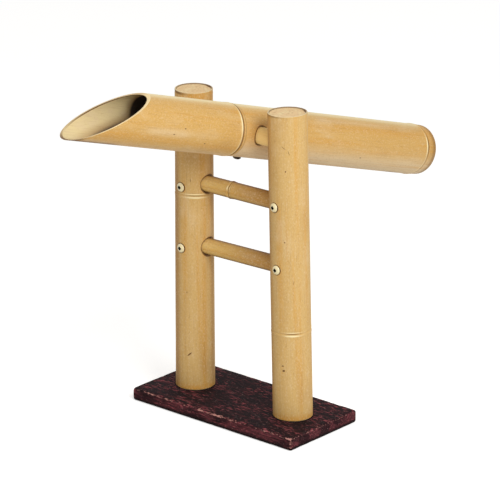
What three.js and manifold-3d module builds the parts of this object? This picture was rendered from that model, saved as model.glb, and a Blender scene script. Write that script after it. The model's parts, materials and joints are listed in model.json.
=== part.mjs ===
// A shishi odoshi: a bamboo spout that rocks on a dowel between two bamboo posts on a stained board.
// Millimetres. +Z is up, +X runs along the row of posts to the right post, the spout points to -Y.
// The origin is the middle of the board's underside.
import * as THREE from "three";
import { mergeVertices } from "three/addons/utils/BufferGeometryUtils.js";
import Module from "manifold-3d";

const wasm = await Module();
wasm.setup();

// Base board
const boardLength = 214.5;
const boardWidth = 104;
const boardThickness = 13.5;
const boardCornerRadius = 3;
const boardEdgeEase = 2.6;

// Pivot: its height above the board's top, which the posts and the rungs follow
const pivotHeight = 285.7;

// Posts: heights are above the board's top, the inset is from a post's axis to the board's end
const postInset = 41.25;
const leftPostPastPivot = 32.3;
const rightPostPastPivot = 31.3;
const leftPostLean = 0;
const rightPostLean = 1.6;
const leftFootRadius = 20.5;
const leftTopRadius = 19.3;
const rightFootRadius = 20.3;
const rightTopRadius = 19.9;
const leftNodeHeight = 209;
const rightNodeHeight = 91.5;
const topNodeDepth = 3.5;
const postWall = 3.4;
const postSeptum = 5;
const postRingReach = 3;
const postRingHeight = 0.45;
const postRimEase = 0.5;

// Plugs and screws that hold the posts on the board
const plugHeight = 32;
const baseScrewLength = 38;
const baseScrewRadius = 2;
const baseHeadRadius = 4.2;
const baseHeadSink = 0.6;

// Rungs: how far they lie below the pivot, halfway between the posts
const upperRungDrop = 64.4;
const lowerRungDrop = 130.5;
const upperRungRise = 0.34;
const lowerRungRise = 0.97;
const rungRadius = 8.63;
const rungWall = 2.5;
const rungSeptum = 2.4;
const rungNodeLeft = 14;
const rungRingReach = 3.6;
const rungRingHeight = 0.8;
const rungPastPostAxis = 8;

// Truss-head screws that pin the rungs
const rungScrewLength = 28;
const rungScrewRadius = 1.9;
const rungScrewHeadRadius = 4.7;
const rungScrewHeadHeight = 2.4;

// Rocker: stations run along the tube from the pivot
const tubeTilt = 16.77;
const tubeLeftShift = 2;
const spoutTipReach = 255.9;
const mouthTopReach = 154.5;
const midNodeReach = 29.7;
const tailNodeReach = 275;
const tailReach = 296.6;
const spoutRadius = 26.2;
const spoutNodeRadius = 26.5;
const tailFrontRadius = 26.25;
const tailNodeRadius = 26.85;
const tailEndRadius = 26.4;
const tubeWall = 2.2;
const tubeSeptum = 3.4;
const tubeRingReach = 6;
const tubeRingHeight = 0.85;
const tailRimEase = 1.2;

// Axle and its screw
const axleRadius = 8.7;
const axleEndPlay = 1.5;
const axleEndEase = 1;
const axleScrewPastAxis = 3;
const axleScrewRadius = 1.8;
const axleScrewHeadRadius = 4.3;
const axleScrewHeadHeight = 2.6;

// Fits
const fitGap = 0.3;
const seatGap = 0.1;
const cutOverrun = 4;
const weldDistance = 0.0001;

// A truss head's dome and its cross recess, as shares of the head's radius and height
const recessReachShare = 0.5;
const recessWidthShare = 0.2;
const recessDepthShare = 0.85;
const pointLengthShare = 2;

// A node seen along the culm: offsets in shares of the ring's reach, heights in shares of its height
const ringShares = [
  [-1, 0],
  [-0.6, 0.7],
  [-0.3, 1],
  [0, -0.4],
  [0.35, 0.45],
  [0.65, 0.3],
  [1, 0],
];

const culmSides = 32;
const tubeSides = 40;
const rungSides = 24;
const screwSides = 16;
const filletSteps = 3;
const filletShare = 1.4;

// Materials

function material(colour, roughness, metalness = 0) {
  return new THREE.MeshStandardMaterial({ color: colour, roughness, metalness });
}

const bambooTube = material("#d8b06a", 0.45);
const bambooPost = material("#d6b074", 0.45);
const bambooRung = material("#c49250", 0.5);
const dowelWood = material("#d9bb84", 0.65);
const plugWood = material("#c9ab7c", 0.8);
const stainedBoard = material("#3a1d22", 0.6);
const ivoryScrew = material("#e9dfc0", 0.35, 0.4);
const darkScrew = material("#4a4540", 0.45, 0.8);
const zincScrew = material("#a9a9a4", 0.4, 0.9);

// Solids

// The closed solid of a geometry, with its shared corners joined.
function solidOf(geometry) {
  const bare = geometry.index ? geometry.toNonIndexed() : geometry.clone();
  bare.deleteAttribute("normal");
  bare.deleteAttribute("uv");
  const welded = mergeVertices(bare, weldDistance);
  return new wasm.Manifold(
    new wasm.Mesh({
      numProp: 3,
      vertProperties: welded.attributes.position.array,
      triVerts: new Uint32Array(welded.index.array),
    }),
  );
}

function geometryOf(solid) {
  const mesh = solid.getMesh();
  const geometry = new THREE.BufferGeometry();
  geometry.setAttribute("position", new THREE.BufferAttribute(mesh.vertProperties, 3));
  geometry.setIndex(new THREE.BufferAttribute(mesh.triVerts, 1));
  geometry.computeVertexNormals();
  return geometry;
}

function cut(geometry, cutters) {
  const left = cutters.reduce((body, cutter) => body.subtract(solidOf(cutter)), solidOf(geometry));
  return geometryOf(left);
}

function piece(name, geometry, look) {
  const mesh = new THREE.Mesh(geometry, look);
  mesh.name = name;
  return mesh;
}

const radians = THREE.MathUtils.degToRad;

// A round bar along +X between two stations.
function barAlongX(radius, from, to, sides = culmSides) {
  const bar = new THREE.CylinderGeometry(radius, radius, to - from, sides);
  return bar.rotateZ(-Math.PI / 2).translate((from + to) / 2, 0, 0);
}

// Culms: each runs along +Y from its start to its end, with internodes between its nodes

// Stations where the culm's internodes begin and end.
function stations(culm) {
  return [culm.start, ...culm.nodes, culm.end];
}

// Outer radius of internode number i at a station.
function skinRadius(culm, i, station) {
  const [from, to] = stations(culm).slice(i, i + 2);
  const [first, last] = culm.radii[i];
  return THREE.MathUtils.mapLinear(station, from, to, first, last);
}

// Points up the skin, with two low rings round every node.
function skinPoints(culm) {
  const points = [new THREE.Vector2(skinRadius(culm, 0, culm.start), culm.start)];
  culm.nodes.forEach((node, i) => {
    for (const [offset, height] of ringShares) {
      const station = node + offset * culm.ringReach;
      const radius = skinRadius(culm, offset < 0 ? i : i + 1, station);
      points.push(new THREE.Vector2(radius + height * culm.ringHeight, station));
    }
  });
  const last = culm.nodes.length;
  const easeStart = culm.end - culm.rimEase;
  return [
    ...points.filter((point) => point.y < easeStart),
    new THREE.Vector2(skinRadius(culm, last, easeStart), easeStart),
    new THREE.Vector2(skinRadius(culm, last, culm.end) - culm.rimEase, culm.end),
  ];
}

function closedOnAxis(points, sides) {
  const foot = new THREE.Vector2(0, points[0].y);
  const head = new THREE.Vector2(0, points[points.length - 1].y);
  return new THREE.LatheGeometry([foot, ...points, head], sides);
}

// One end of a hollow: square where the culm is cut open, rounded into the septum at a node.
function hollowEnd(station, radius, inwards, isNode, culm) {
  if (!isNode) {
    return [new THREE.Vector2(radius, station - inwards * cutOverrun)];
  }
  const floor = station + (inwards * culm.septum) / 2;
  const fillet = culm.wall * filletShare;
  return Array.from({ length: filletSteps + 1 }, (_, step) => {
    const turn = (step / filletSteps) * (Math.PI / 2);
    const across = radius - fillet * (1 - Math.sin(turn));
    const along = floor + inwards * fillet * (1 - Math.cos(turn));
    return new THREE.Vector2(across, along);
  });
}

// The space inside internode number i.
function hollow(culm, i) {
  const [from, to] = stations(culm).slice(i, i + 2);
  const inner = (station) => skinRadius(culm, i, station) - culm.wall;
  const lower = hollowEnd(from, inner(from), 1, i > 0, culm);
  const upper = hollowEnd(to, inner(to), -1, i < culm.nodes.length, culm);
  return closedOnAxis([...lower, ...upper.reverse()], culm.sides);
}

function culmGeometry(culm) {
  const hollows = culm.radii.map((_, i) => hollow(culm, i));
  return cut(closedOnAxis(skinPoints(culm), culm.sides), hollows);
}

// Screws: each points along +Z from the underside of its head at the origin

function screwShank(radius, length) {
  const point = radius * pointLengthShare;
  return [
    new THREE.Vector2(radius, 0),
    new THREE.Vector2(radius, length - point),
    new THREE.Vector2(0, length),
  ];
}

// A domed head over a cross recess, and a pointed shank.
function trussScrew(radius, length, headRadius, headHeight) {
  const dome = Array.from({ length: filletSteps + 1 }, (_, step) => {
    const turn = (step / (filletSteps + 1)) * (Math.PI / 2);
    return new THREE.Vector2(headRadius * Math.cos(turn), -headHeight * Math.sin(turn));
  });
  const top = new THREE.Vector2(0, -headHeight);
  const body = new THREE.LatheGeometry([top, ...dome.reverse(), ...screwShank(radius, length)], screwSides);
  body.rotateX(Math.PI / 2);
  const depth = headHeight * recessDepthShare;
  const reach = 2 * headRadius * recessReachShare;
  const width = 2 * headRadius * recessWidthShare;
  const slot = new THREE.BoxGeometry(reach, width, 2 * depth).translate(0, 0, -headHeight);
  return cut(body, [slot, slot.clone().rotateZ(Math.PI / 2)]);
}

// A flat head that tapers into its shank: its face lies at the origin.
function countersunkScrew(radius, length, headRadius) {
  const cone = new THREE.Vector2(radius, headRadius - radius);
  const shank = screwShank(radius, length).slice(1);
  const profile = [new THREE.Vector2(0, 0), new THREE.Vector2(headRadius, 0), cone, ...shank];
  return new THREE.LatheGeometry(profile, screwSides).rotateX(Math.PI / 2);
}

// Posts: x is measured from the middle of the board, z from its top

const postOffset = boardLength / 2 - postInset;
const leftPostHeight = pivotHeight + leftPostPastPivot;
const rightPostHeight = pivotHeight + rightPostPastPivot;

function taperedCulm(footRadius, topRadius, height, nodes) {
  const ends = [0, ...nodes, height];
  const radius = (station) => THREE.MathUtils.mapLinear(station, 0, height, footRadius, topRadius);
  return {
    start: 0,
    end: height,
    nodes,
    radii: ends.slice(1).map((end, i) => [radius(ends[i]), radius(end)]),
    wall: postWall,
    septum: postSeptum,
    ringReach: postRingReach,
    ringHeight: postRingHeight,
    rimEase: postRimEase,
    sides: culmSides,
  };
}

const leftPost = {
  foot: -postOffset,
  lean: radians(leftPostLean),
  culm: taperedCulm(leftFootRadius, leftTopRadius, leftPostHeight, [
    leftNodeHeight,
    leftPostHeight - topNodeDepth,
  ]),
};

const rightPost = {
  foot: postOffset,
  lean: radians(rightPostLean),
  culm: taperedCulm(rightFootRadius, rightTopRadius, rightPostHeight, [
    rightNodeHeight,
    rightPostHeight - topNodeDepth,
  ]),
};

// Where a post's axis is at a height, and its outer radius there.
function axisAt(post, height) {
  return post.foot - height * Math.tan(post.lean);
}

function radiusAt(post, height) {
  const { end, radii } = post.culm;
  return THREE.MathUtils.mapLinear(height, 0, end, radii[0][0], radii[radii.length - 1][1]);
}

// Stands a shape that grows along +Y on a post's foot, leaning as the post does, cut level at the foot.
function stoodInPost(post, geometry) {
  geometry.rotateX(Math.PI / 2).rotateY(-post.lean);
  const reach = 2 * radiusAt(post, 0);
  const below = new THREE.BoxGeometry(2 * reach, 2 * reach, reach).translate(0, 0, -reach / 2);
  return cut(geometry, [below]);
}

// Rungs: a rung's own x runs along it from halfway between the posts

const upperRung = {
  height: pivotHeight - upperRungDrop,
  rise: radians(upperRungRise),
  nodes: [-rungNodeLeft],
};

const lowerRung = {
  height: pivotHeight - lowerRungDrop,
  rise: radians(lowerRungRise),
  nodes: [],
};

function rungHeightAt(rung, x) {
  return rung.height + x * Math.tan(rung.rise);
}

// The rung's ends lie just past the two posts' axes.
function rungEnds(rung) {
  const left = axisAt(leftPost, rungHeightAt(rung, leftPost.foot));
  const right = axisAt(rightPost, rungHeightAt(rung, rightPost.foot));
  const scale = 1 / Math.cos(rung.rise);
  return [left * scale - rungPastPostAxis, right * scale + rungPastPostAxis];
}

function rungCulm(rung) {
  const [start, end] = rungEnds(rung);
  return {
    start,
    end,
    nodes: rung.nodes,
    radii: Array.from({ length: rung.nodes.length + 1 }, () => [rungRadius, rungRadius]),
    wall: rungWall,
    septum: rungSeptum,
    ringReach: rungRingReach,
    ringHeight: rungRingHeight,
    rimEase: fitGap,
    sides: rungSides,
  };
}

function placeRung(rung, geometry) {
  return geometry.rotateY(-rung.rise).translate(0, 0, rung.height);
}

// The round hole that a rung needs.
function rungHole(rung) {
  const [start, end] = rungEnds(rung);
  return placeRung(rung, barAlongX(rungRadius + fitGap, start - fitGap, end + fitGap, rungSides));
}

// Rung screws: one at each end of each rung, on the spout's side.
// The lift is above the rung's axis, the turn is in degrees round the post towards its left.
const rungScrews = [
  { name: "left_upper_rung_screw", post: leftPost, rung: upperRung, liftShare: -0.34, turn: 2.5 },
  { name: "left_lower_rung_screw", post: leftPost, rung: lowerRung, liftShare: -0.12, turn: 2.5 },
  { name: "right_upper_rung_screw", post: rightPost, rung: upperRung, liftShare: 0.15, turn: 7.5 },
  { name: "right_lower_rung_screw", post: rightPost, rung: lowerRung, liftShare: 0.27, turn: 3 },
];

// Turns a shape that points along +Z into a post, square to the post's skin.
function driveIntoPost({ post, rung, liftShare, turn }, geometry) {
  const height = rungHeightAt(rung, axisAt(post, rung.height)) + liftShare * rungRadius;
  const skin = radiusAt(post, height) + seatGap;
  return geometry
    .rotateX(-Math.PI / 2)
    .translate(0, -skin, 0)
    .rotateZ(-radians(turn))
    .translate(axisAt(post, height), 0, height);
}

function rungScrewHole(screw) {
  const radius = rungScrewRadius + fitGap;
  const length = rungScrewLength + fitGap + cutOverrun;
  const hole = new THREE.CylinderGeometry(radius, radius, length, screwSides);
  hole.rotateX(Math.PI / 2).translate(0, 0, length / 2 - cutOverrun);
  return driveIntoPost(screw, hole);
}

function rungScrewPiece(screw) {
  const shape = trussScrew(rungScrewRadius, rungScrewLength, rungScrewHeadRadius, rungScrewHeadHeight);
  return piece(screw.name, driveIntoPost(screw, shape), ivoryScrew);
}

function rungPiece(name, rung) {
  const culm = culmGeometry(rungCulm(rung)).rotateZ(-Math.PI / 2);
  const holes = rungScrews.filter((screw) => screw.rung === rung).map(rungScrewHole);
  return piece(name, cut(placeRung(rung, culm), holes), bambooRung);
}

// Axle: its ends stop just short of the posts' outer walls

function axleEnds() {
  const reach = (post) => {
    const bore = radiusAt(post, pivotHeight) - postWall;
    return Math.sqrt(bore ** 2 - axleRadius ** 2) - axleEndPlay;
  };
  return [
    axisAt(leftPost, pivotHeight) - reach(leftPost),
    axisAt(rightPost, pivotHeight) + reach(rightPost),
  ];
}

function axleHole() {
  const [left, right] = axleEnds();
  return barAlongX(axleRadius + fitGap, left - fitGap, right + fitGap);
}

function postPiece(name, post) {
  const body = stoodInPost(post, culmGeometry(post.culm)).translate(post.foot, 0, 0);
  const holes = [
    rungHole(upperRung),
    rungHole(lowerRung),
    axleHole().translate(0, 0, pivotHeight),
    ...rungScrews.filter((screw) => screw.post === post).map(rungScrewHole),
  ];
  return piece(name, cut(body, holes), bambooPost);
}

// Plugs in the posts' feet, and the screws that come up into them through the board

function baseScrewHole(post) {
  const radius = baseScrewRadius + fitGap;
  const shape = countersunkScrew(radius, baseScrewLength + 2 * fitGap, baseHeadRadius + fitGap);
  const mouth = new THREE.CylinderGeometry(
    baseHeadRadius + fitGap,
    baseHeadRadius + fitGap,
    cutOverrun,
    screwSides,
  );
  mouth.rotateX(Math.PI / 2).translate(0, 0, -cutOverrun / 2);
  const hole = solidOf(shape).add(solidOf(mouth));
  return geometryOf(hole).translate(post.foot, 0, baseHeadSink - boardThickness);
}

function plugPiece(name, post) {
  const radius = radiusAt(post, plugHeight) - postWall - fitGap;
  const bar = new THREE.CylinderGeometry(radius, radius, 2 * plugHeight, culmSides);
  const plug = stoodInPost(post, bar).translate(post.foot, 0, 0);
  return piece(name, cut(plug, [baseScrewHole(post)]), plugWood);
}

function baseScrewPiece(name, post) {
  const shape = countersunkScrew(baseScrewRadius, baseScrewLength, baseHeadRadius);
  return piece(name, shape.translate(post.foot, 0, baseHeadSink - boardThickness), zincScrew);
}

// Board: its top lies at zero here, as the posts' feet do

function boardOutline() {
  const halfLength = boardLength / 2 - boardEdgeEase;
  const halfWidth = boardWidth / 2 - boardEdgeEase;
  const corner = boardCornerRadius - boardEdgeEase;
  const outline = new THREE.Shape();
  outline.absarc(halfLength - corner, halfWidth - corner, corner, 0, Math.PI / 2);
  outline.absarc(corner - halfLength, halfWidth - corner, corner, Math.PI / 2, Math.PI);
  outline.absarc(corner - halfLength, corner - halfWidth, corner, Math.PI, 1.5 * Math.PI);
  outline.absarc(halfLength - corner, corner - halfWidth, corner, 1.5 * Math.PI, 2 * Math.PI);
  return outline;
}

function boardPiece() {
  const slab = new THREE.ExtrudeGeometry(boardOutline(), {
    depth: boardThickness - 2 * boardEdgeEase,
    bevelThickness: boardEdgeEase,
    bevelSize: boardEdgeEase,
    bevelSegments: filletSteps,
    curveSegments: filletSteps,
  });
  slab.translate(0, 0, boardEdgeEase - boardThickness);
  return piece("base_board", cut(slab, [baseScrewHole(leftPost), baseScrewHole(rightPost)]), stainedBoard);
}

// Rocker: y runs along the tube to its tail, z is the tube's own up, and the pivot is the origin

const tubeCulm = {
  start: -spoutTipReach - cutOverrun,
  end: tailReach,
  nodes: [-midNodeReach, tailNodeReach],
  radii: [
    [spoutRadius, spoutNodeRadius],
    [tailFrontRadius, tailNodeRadius],
    [tailNodeRadius, tailEndRadius],
  ],
  wall: tubeWall,
  septum: tubeSeptum,
  ringReach: tubeRingReach,
  ringHeight: tubeRingHeight,
  rimEase: tailRimEase,
  sides: tubeSides,
};

// The wedge above the slanting mouth: it rises from the tip at the bottom to the mouth's top edge.
function mouthCut() {
  const tip = new THREE.Vector2(-spoutTipReach, -spoutRadius);
  const top = new THREE.Vector2(-mouthTopReach, spoutRadius);
  const slope = top.clone().sub(tip).multiplyScalar(cutOverrun / spoutRadius);
  const low = tip.clone().sub(slope);
  const high = top.clone().add(slope);
  const behind = (corner) => new THREE.Vector2(low.x - cutOverrun, corner.y);
  const wedge = new THREE.Shape([low, high, behind(high), behind(low)]);
  const width = 2 * (spoutRadius + cutOverrun);
  const block = new THREE.ExtrudeGeometry(wedge, { depth: width, bevelEnabled: false });
  block.translate(0, 0, -width / 2);
  return block.rotateY(Math.PI / 2).rotateX(Math.PI / 2);
}

// The screw that fixes the tube to its axle comes up from below.
const axleScrewSeat = -(tailFrontRadius + seatGap);
const axleScrewLength = tailFrontRadius + axleScrewPastAxis;

function axleScrewHole() {
  const radius = axleScrewRadius + fitGap;
  const length = axleScrewLength + fitGap + cutOverrun;
  const hole = new THREE.CylinderGeometry(radius, radius, length, screwSides);
  return hole.rotateX(Math.PI / 2).translate(-tubeLeftShift, 0, axleScrewSeat - cutOverrun + length / 2);
}

function tubePiece() {
  const culm = culmGeometry(tubeCulm).translate(-tubeLeftShift, 0, 0);
  const cutters = [mouthCut().translate(-tubeLeftShift, 0, 0), axleHole(), axleScrewHole()];
  return piece("rocker_tube", cut(culm, cutters), bambooTube);
}

function axlePiece() {
  const [left, right] = axleEnds();
  const profile = [
    new THREE.Vector2(axleRadius - axleEndEase, left),
    new THREE.Vector2(axleRadius, left + axleEndEase),
    new THREE.Vector2(axleRadius, right - axleEndEase),
    new THREE.Vector2(axleRadius - axleEndEase, right),
  ];
  const dowel = closedOnAxis(profile, culmSides).rotateZ(-Math.PI / 2);
  return piece("axle", cut(dowel, [axleScrewHole()]), dowelWood);
}

function axleScrewPiece() {
  const shape = trussScrew(axleScrewRadius, axleScrewLength, axleScrewHeadRadius, axleScrewHeadHeight);
  return piece("axle_screw", shape.translate(-tubeLeftShift, 0, axleScrewSeat), darkScrew);
}

// Assembly

const rocker = new THREE.Group();
rocker.position.z = pivotHeight;
rocker.rotation.x = -radians(tubeTilt);
rocker.add(tubePiece(), axlePiece(), axleScrewPiece());

const onBoard = new THREE.Group();
onBoard.position.z = boardThickness;
onBoard.add(
  boardPiece(),
  postPiece("left_post", leftPost),
  postPiece("right_post", rightPost),
  plugPiece("left_foot_plug", leftPost),
  plugPiece("right_foot_plug", rightPost),
  baseScrewPiece("left_base_screw", leftPost),
  baseScrewPiece("right_base_screw", rightPost),
  rungPiece("upper_rung", upperRung),
  rungPiece("lower_rung", lowerRung),
  ...rungScrews.map(rungScrewPiece),
  rocker,
);

const shishiOdoshi = new THREE.Group();
shishiOdoshi.add(onBoard);

export default shishiOdoshi;
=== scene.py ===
"""Dresses a packed shishi odoshi: a bamboo spout that rocks between two bamboo posts on a stained board.

Every shape is a surface worked out with numpy on a grid of stations along a piece and angles round it.
Lengths are metres in the model's own frame: +Z is up, +X runs to the right post, the spout points to -Y.
"""

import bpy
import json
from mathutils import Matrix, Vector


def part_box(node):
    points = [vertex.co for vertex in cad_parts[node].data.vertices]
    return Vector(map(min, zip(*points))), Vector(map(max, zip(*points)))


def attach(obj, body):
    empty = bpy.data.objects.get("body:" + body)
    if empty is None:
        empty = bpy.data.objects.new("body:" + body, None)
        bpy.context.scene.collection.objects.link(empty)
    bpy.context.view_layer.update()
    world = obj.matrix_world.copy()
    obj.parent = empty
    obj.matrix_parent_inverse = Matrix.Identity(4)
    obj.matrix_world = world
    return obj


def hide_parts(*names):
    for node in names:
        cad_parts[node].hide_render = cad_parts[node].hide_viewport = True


bl_info = {
    "name": "Shishi Odoshi",
    "version": (1, 0, 0),
    "blender": (4, 5, 0),
    "location": "View3D > Sidebar > Shishi Odoshi",
    "description": "Builds the bamboo, board and screws of a shishi odoshi over its packed model",
    "category": "Add Mesh",
}

import json
import math
from dataclasses import dataclass

import bpy
import numpy as np
from mathutils import Matrix, Vector

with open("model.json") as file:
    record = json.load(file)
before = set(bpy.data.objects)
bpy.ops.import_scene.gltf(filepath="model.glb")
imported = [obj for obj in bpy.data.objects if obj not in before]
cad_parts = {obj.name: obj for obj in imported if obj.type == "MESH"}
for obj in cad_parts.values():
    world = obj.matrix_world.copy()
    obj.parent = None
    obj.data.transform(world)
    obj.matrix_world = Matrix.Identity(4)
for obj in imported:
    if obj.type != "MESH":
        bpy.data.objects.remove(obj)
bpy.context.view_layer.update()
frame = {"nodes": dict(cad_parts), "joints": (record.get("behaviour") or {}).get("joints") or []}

MM = 0.001


def box_size(node):
    """Length, width and height of a packed node in metres."""
    low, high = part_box(node)
    return high - low


def joint_height(name):
    """Height of a joint of the packed model."""
    return next(joint["pos_m"][2] for joint in frame["joints"] if joint["name"] == name)


def linear(hex_colour):
    """An sRGB hex colour as linear red, green, blue and alpha, by the sRGB curve."""
    coded = np.array([int(hex_colour[place : place + 2], 16) for place in (1, 3, 5)]) / 255
    light = np.where(coded <= 0.04045, coded / 12.92, ((coded + 0.055) / 1.055) ** 2.4)
    return (*light.tolist(), 1.0)


# Settings


def length(label, text, millimetres):
    return bpy.props.FloatProperty(
        name=label, description=text, default=millimetres * MM, unit="LENGTH", precision=4
    )


def turn(label, text, degrees):
    return bpy.props.FloatProperty(
        name=label, description=text, default=math.radians(degrees), subtype="ANGLE"
    )


def colour(label, text, hex_colour):
    return bpy.props.FloatVectorProperty(
        name=label, description=text, default=linear(hex_colour), size=4, subtype="COLOR", min=0, max=1
    )


def share(label, text, default):
    return bpy.props.FloatProperty(
        name=label, description=text, default=default, min=0, max=1, subtype="FACTOR"
    )


def strength(label, text, default):
    return bpy.props.FloatProperty(name=label, description=text, default=default, min=0)


class BoardSettings(bpy.types.PropertyGroup):
    """The stained base board."""

    length: length("Length", "Along the row of posts", box_size("base_board").x / MM)
    width: length("Width", "Across the row of posts", box_size("base_board").y / MM)
    thickness: length("Thickness", "Height of the board's top", box_size("base_board").z / MM)
    corner_radius: length("Corner radius", "Radius of the board's corners seen from above", 3)
    edge_ease: length("Edge ease", "Radius of the sanded edges", 2.6)
    knock_depth: length("Knock depth", "Depth of the deepest knock in an edge", 0.35)
    dark_stain: colour("Dark stain", "Stain where it lies thick", "#17080e")
    red_stain: colour("Red stain", "Stain where the grain shows through", "#934a50")
    side_stain: colour("Side stain", "Stain on the sawn sides", "#55292e")
    # The edge stain is also the colour of the painted shadow round the posts' feet
    edge_stain: colour("Edge stain", "Stain that has gathered along edges and round the posts", "#120809")
    bare_wood: colour("Worn edge", "Wood where an edge is worn bare", "#cc9186")
    dust: colour("Dust", "Specks of dust", "#a98f8b")


class PostSettings(bpy.types.PropertyGroup):
    """The two upright culms. Heights are above the board's top."""

    offset: length("Offset", "From the middle of the board to a post's axis at its foot", 66)
    left_height: length("Left height", "Height of the left post", 318)
    right_height: length("Right height", "Height of the right post", 317)
    left_lean: turn("Left lean", "Lean of the left post towards the other", 0)
    right_lean: turn("Right lean", "Lean of the right post towards the other", 1.6)
    left_foot_radius: length("Left foot radius", "Outer radius of the left post at its foot", 20.5)
    left_top_radius: length("Left top radius", "Outer radius of the left post at its top", 19.3)
    right_foot_radius: length("Right foot radius", "Outer radius of the right post at its foot", 20.3)
    right_top_radius: length("Right top radius", "Outer radius of the right post at its top", 19.9)
    left_node: length("Left node", "Height of the left post's node", 209)
    right_node: length("Right node", "Height of the right post's node", 91.5)
    top_node_depth: length("Top node depth", "From a post's rim down to its top node", 3.5)
    wall: length("Wall", "Thickness of the culm's wall", 3.4)
    septum: length("Septum", "Thickness of the wall across the culm at a node", 5)
    foot_ease: length("Foot ease", "Chamfer round the sawn foot", 0.7)
    ring_reach: length("Ring reach", "How far a node's rings reach along the post each way", 4.2)
    ring_height: length("Ring height", "Height of a node's higher ring", 0.45)
    rim_ease: length("Rim ease", "Radius of the rubbed rim", 0.5)
    bud_groove: length("Bud groove", "Depth of the groove that a branch bud leaves above a node", 0.5)


class RungSettings(bpy.types.PropertyGroup):
    """The two thin culms between the posts. Heights are above the board's top."""

    upper_height: length("Upper height", "Height of the upper rung halfway along", 221.3)
    lower_height: length("Lower height", "Height of the lower rung halfway along", 155.2)
    upper_rise: turn("Upper rise", "Rise of the upper rung to the right", 0.34)
    lower_rise: turn("Lower rise", "Rise of the lower rung to the right", 0.97)
    radius: length("Radius", "Outer radius of a rung", 8.63)
    wall: length("Wall", "Thickness of a rung's wall", 2.5)
    septum: length("Septum", "Thickness of the wall across the rung at its node", 2.4)
    node_left: length("Node", "From halfway along the upper rung left to its node", 14)
    ring_reach: length("Ring reach", "How far the node's rings reach each way", 3.6)
    ring_height: length("Ring height", "Height of the node's higher ring", 0.8)
    rim_ease: length("Rim ease", "Chamfer at a rung's ends", 0.3)
    hole_gap: length("Hole gap", "Gap round a rung in its hole", 0.65)


class RockerSettings(bpy.types.PropertyGroup):
    """The spout tube and its axle. Stations run along the tube from the pivot to the tail."""

    pivot_height: length("Pivot height", "Height of the axle", joint_height("rocker_pivot") / MM)
    tilt: turn("Tilt", "How far the tail hangs below level", 16.77)
    left_shift: length("Left shift", "How far left of the middle the tube sits on its axle", 2)
    tip_reach: length("Tip reach", "From the pivot to the spout's lower lip", 255.9)
    mouth_top_reach: length("Mouth top reach", "From the pivot to the mouth's upper edge", 154.5)
    mid_node_reach: length("Middle node", "From the pivot forward to the middle node", 29.7)
    tail_node_reach: length("Tail node", "From the pivot back to the tail's node", 275)
    tail_reach: length("Tail reach", "From the pivot to the end of the tail", 296.6)
    spout_radius: length("Spout radius", "Outer radius at the mouth", 26.2)
    spout_node_radius: length("Spout node radius", "Outer radius ahead of the middle node", 26.5)
    tail_front_radius: length("Tail front radius", "Outer radius behind the middle node", 26.25)
    tail_node_radius: length("Tail node radius", "Outer radius at the tail's node", 26.85)
    tail_end_radius: length("Tail end radius", "Outer radius at the end of the tail", 26.4)
    wall: length("Wall", "Thickness of the tube's wall", 2.2)
    septum: length("Septum", "Thickness of the wall across the tube at a node", 3.4)
    ring_reach: length("Ring reach", "How far a node's rings reach each way", 6)
    ring_height: length("Ring height", "Height of a node's higher ring", 0.85)
    lip_ease: length("Lip ease", "Radius of the rubbed edges of the mouth", 0.35)
    ring_saddle: length("Ring saddle", "How far the middle node's ring bends along the tube", 1.9)
    # Painted shadow inside the spout: how far ahead of the pivot it starts, and the level below which it lies
    shadow_front: length("Stain front", "From the pivot forward to where the inside is black", 137)
    shadow_level: length("Water line", "Height at rest below which standing water has blackened it", 337.4)
    tail_rim_ease: length("Tail rim ease", "Radius of the rubbed rim of the tail", 1.2)
    axle_radius: length("Axle radius", "Radius of the dowel", 8.7)
    axle_end_ease: length("Axle end ease", "Chamfer at the dowel's ends", 1)
    hole_gap: length("Hole gap", "Gap round the dowel in its holes", 0.9)


class ScrewSettings(bpy.types.PropertyGroup):
    """Truss-head screws in the rungs and the axle, flat-head screws under the board."""

    rung_length: length("Rung screw length", "Shank of a rung's screw", 28)
    rung_radius: length("Rung screw radius", "Outer radius of its thread", 1.9)
    rung_head_radius: length("Rung head radius", "Radius of its head", 4.7)
    rung_head_height: length("Rung head height", "Height of its head", 2.4)
    axle_past_axis: length("Past the axle", "How far the axle's screw goes past the axle's middle", 3)
    axle_radius: length("Axle screw radius", "Outer radius of its thread", 1.8)
    axle_head_radius: length("Axle head radius", "Radius of its head", 4.3)
    axle_head_height: length("Axle head height", "Height of its head", 2.6)
    base_length: length("Base screw length", "Whole length of a screw under the board", 38)
    base_radius: length("Base screw radius", "Outer radius of its thread", 2)
    base_head_radius: length("Base head radius", "Radius of its flat head", 4.2)
    base_head_sink: length("Base head sink", "How deep its head lies in the board", 0.6)
    pitch: length("Pitch", "From one thread to the next", 1.6)
    seat_gap: length("Seat gap", "Gap under a head", 0.1)
    hole_gap: length("Hole gap", "Gap round a screw in its hole", 0.3)
    recess_reach_share: share("Recess reach", "Half the cross recess as a share of the head's radius", 0.5)
    recess_width_share: share("Recess width", "Half an arm's width as a share of the head's radius", 0.24)


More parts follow.
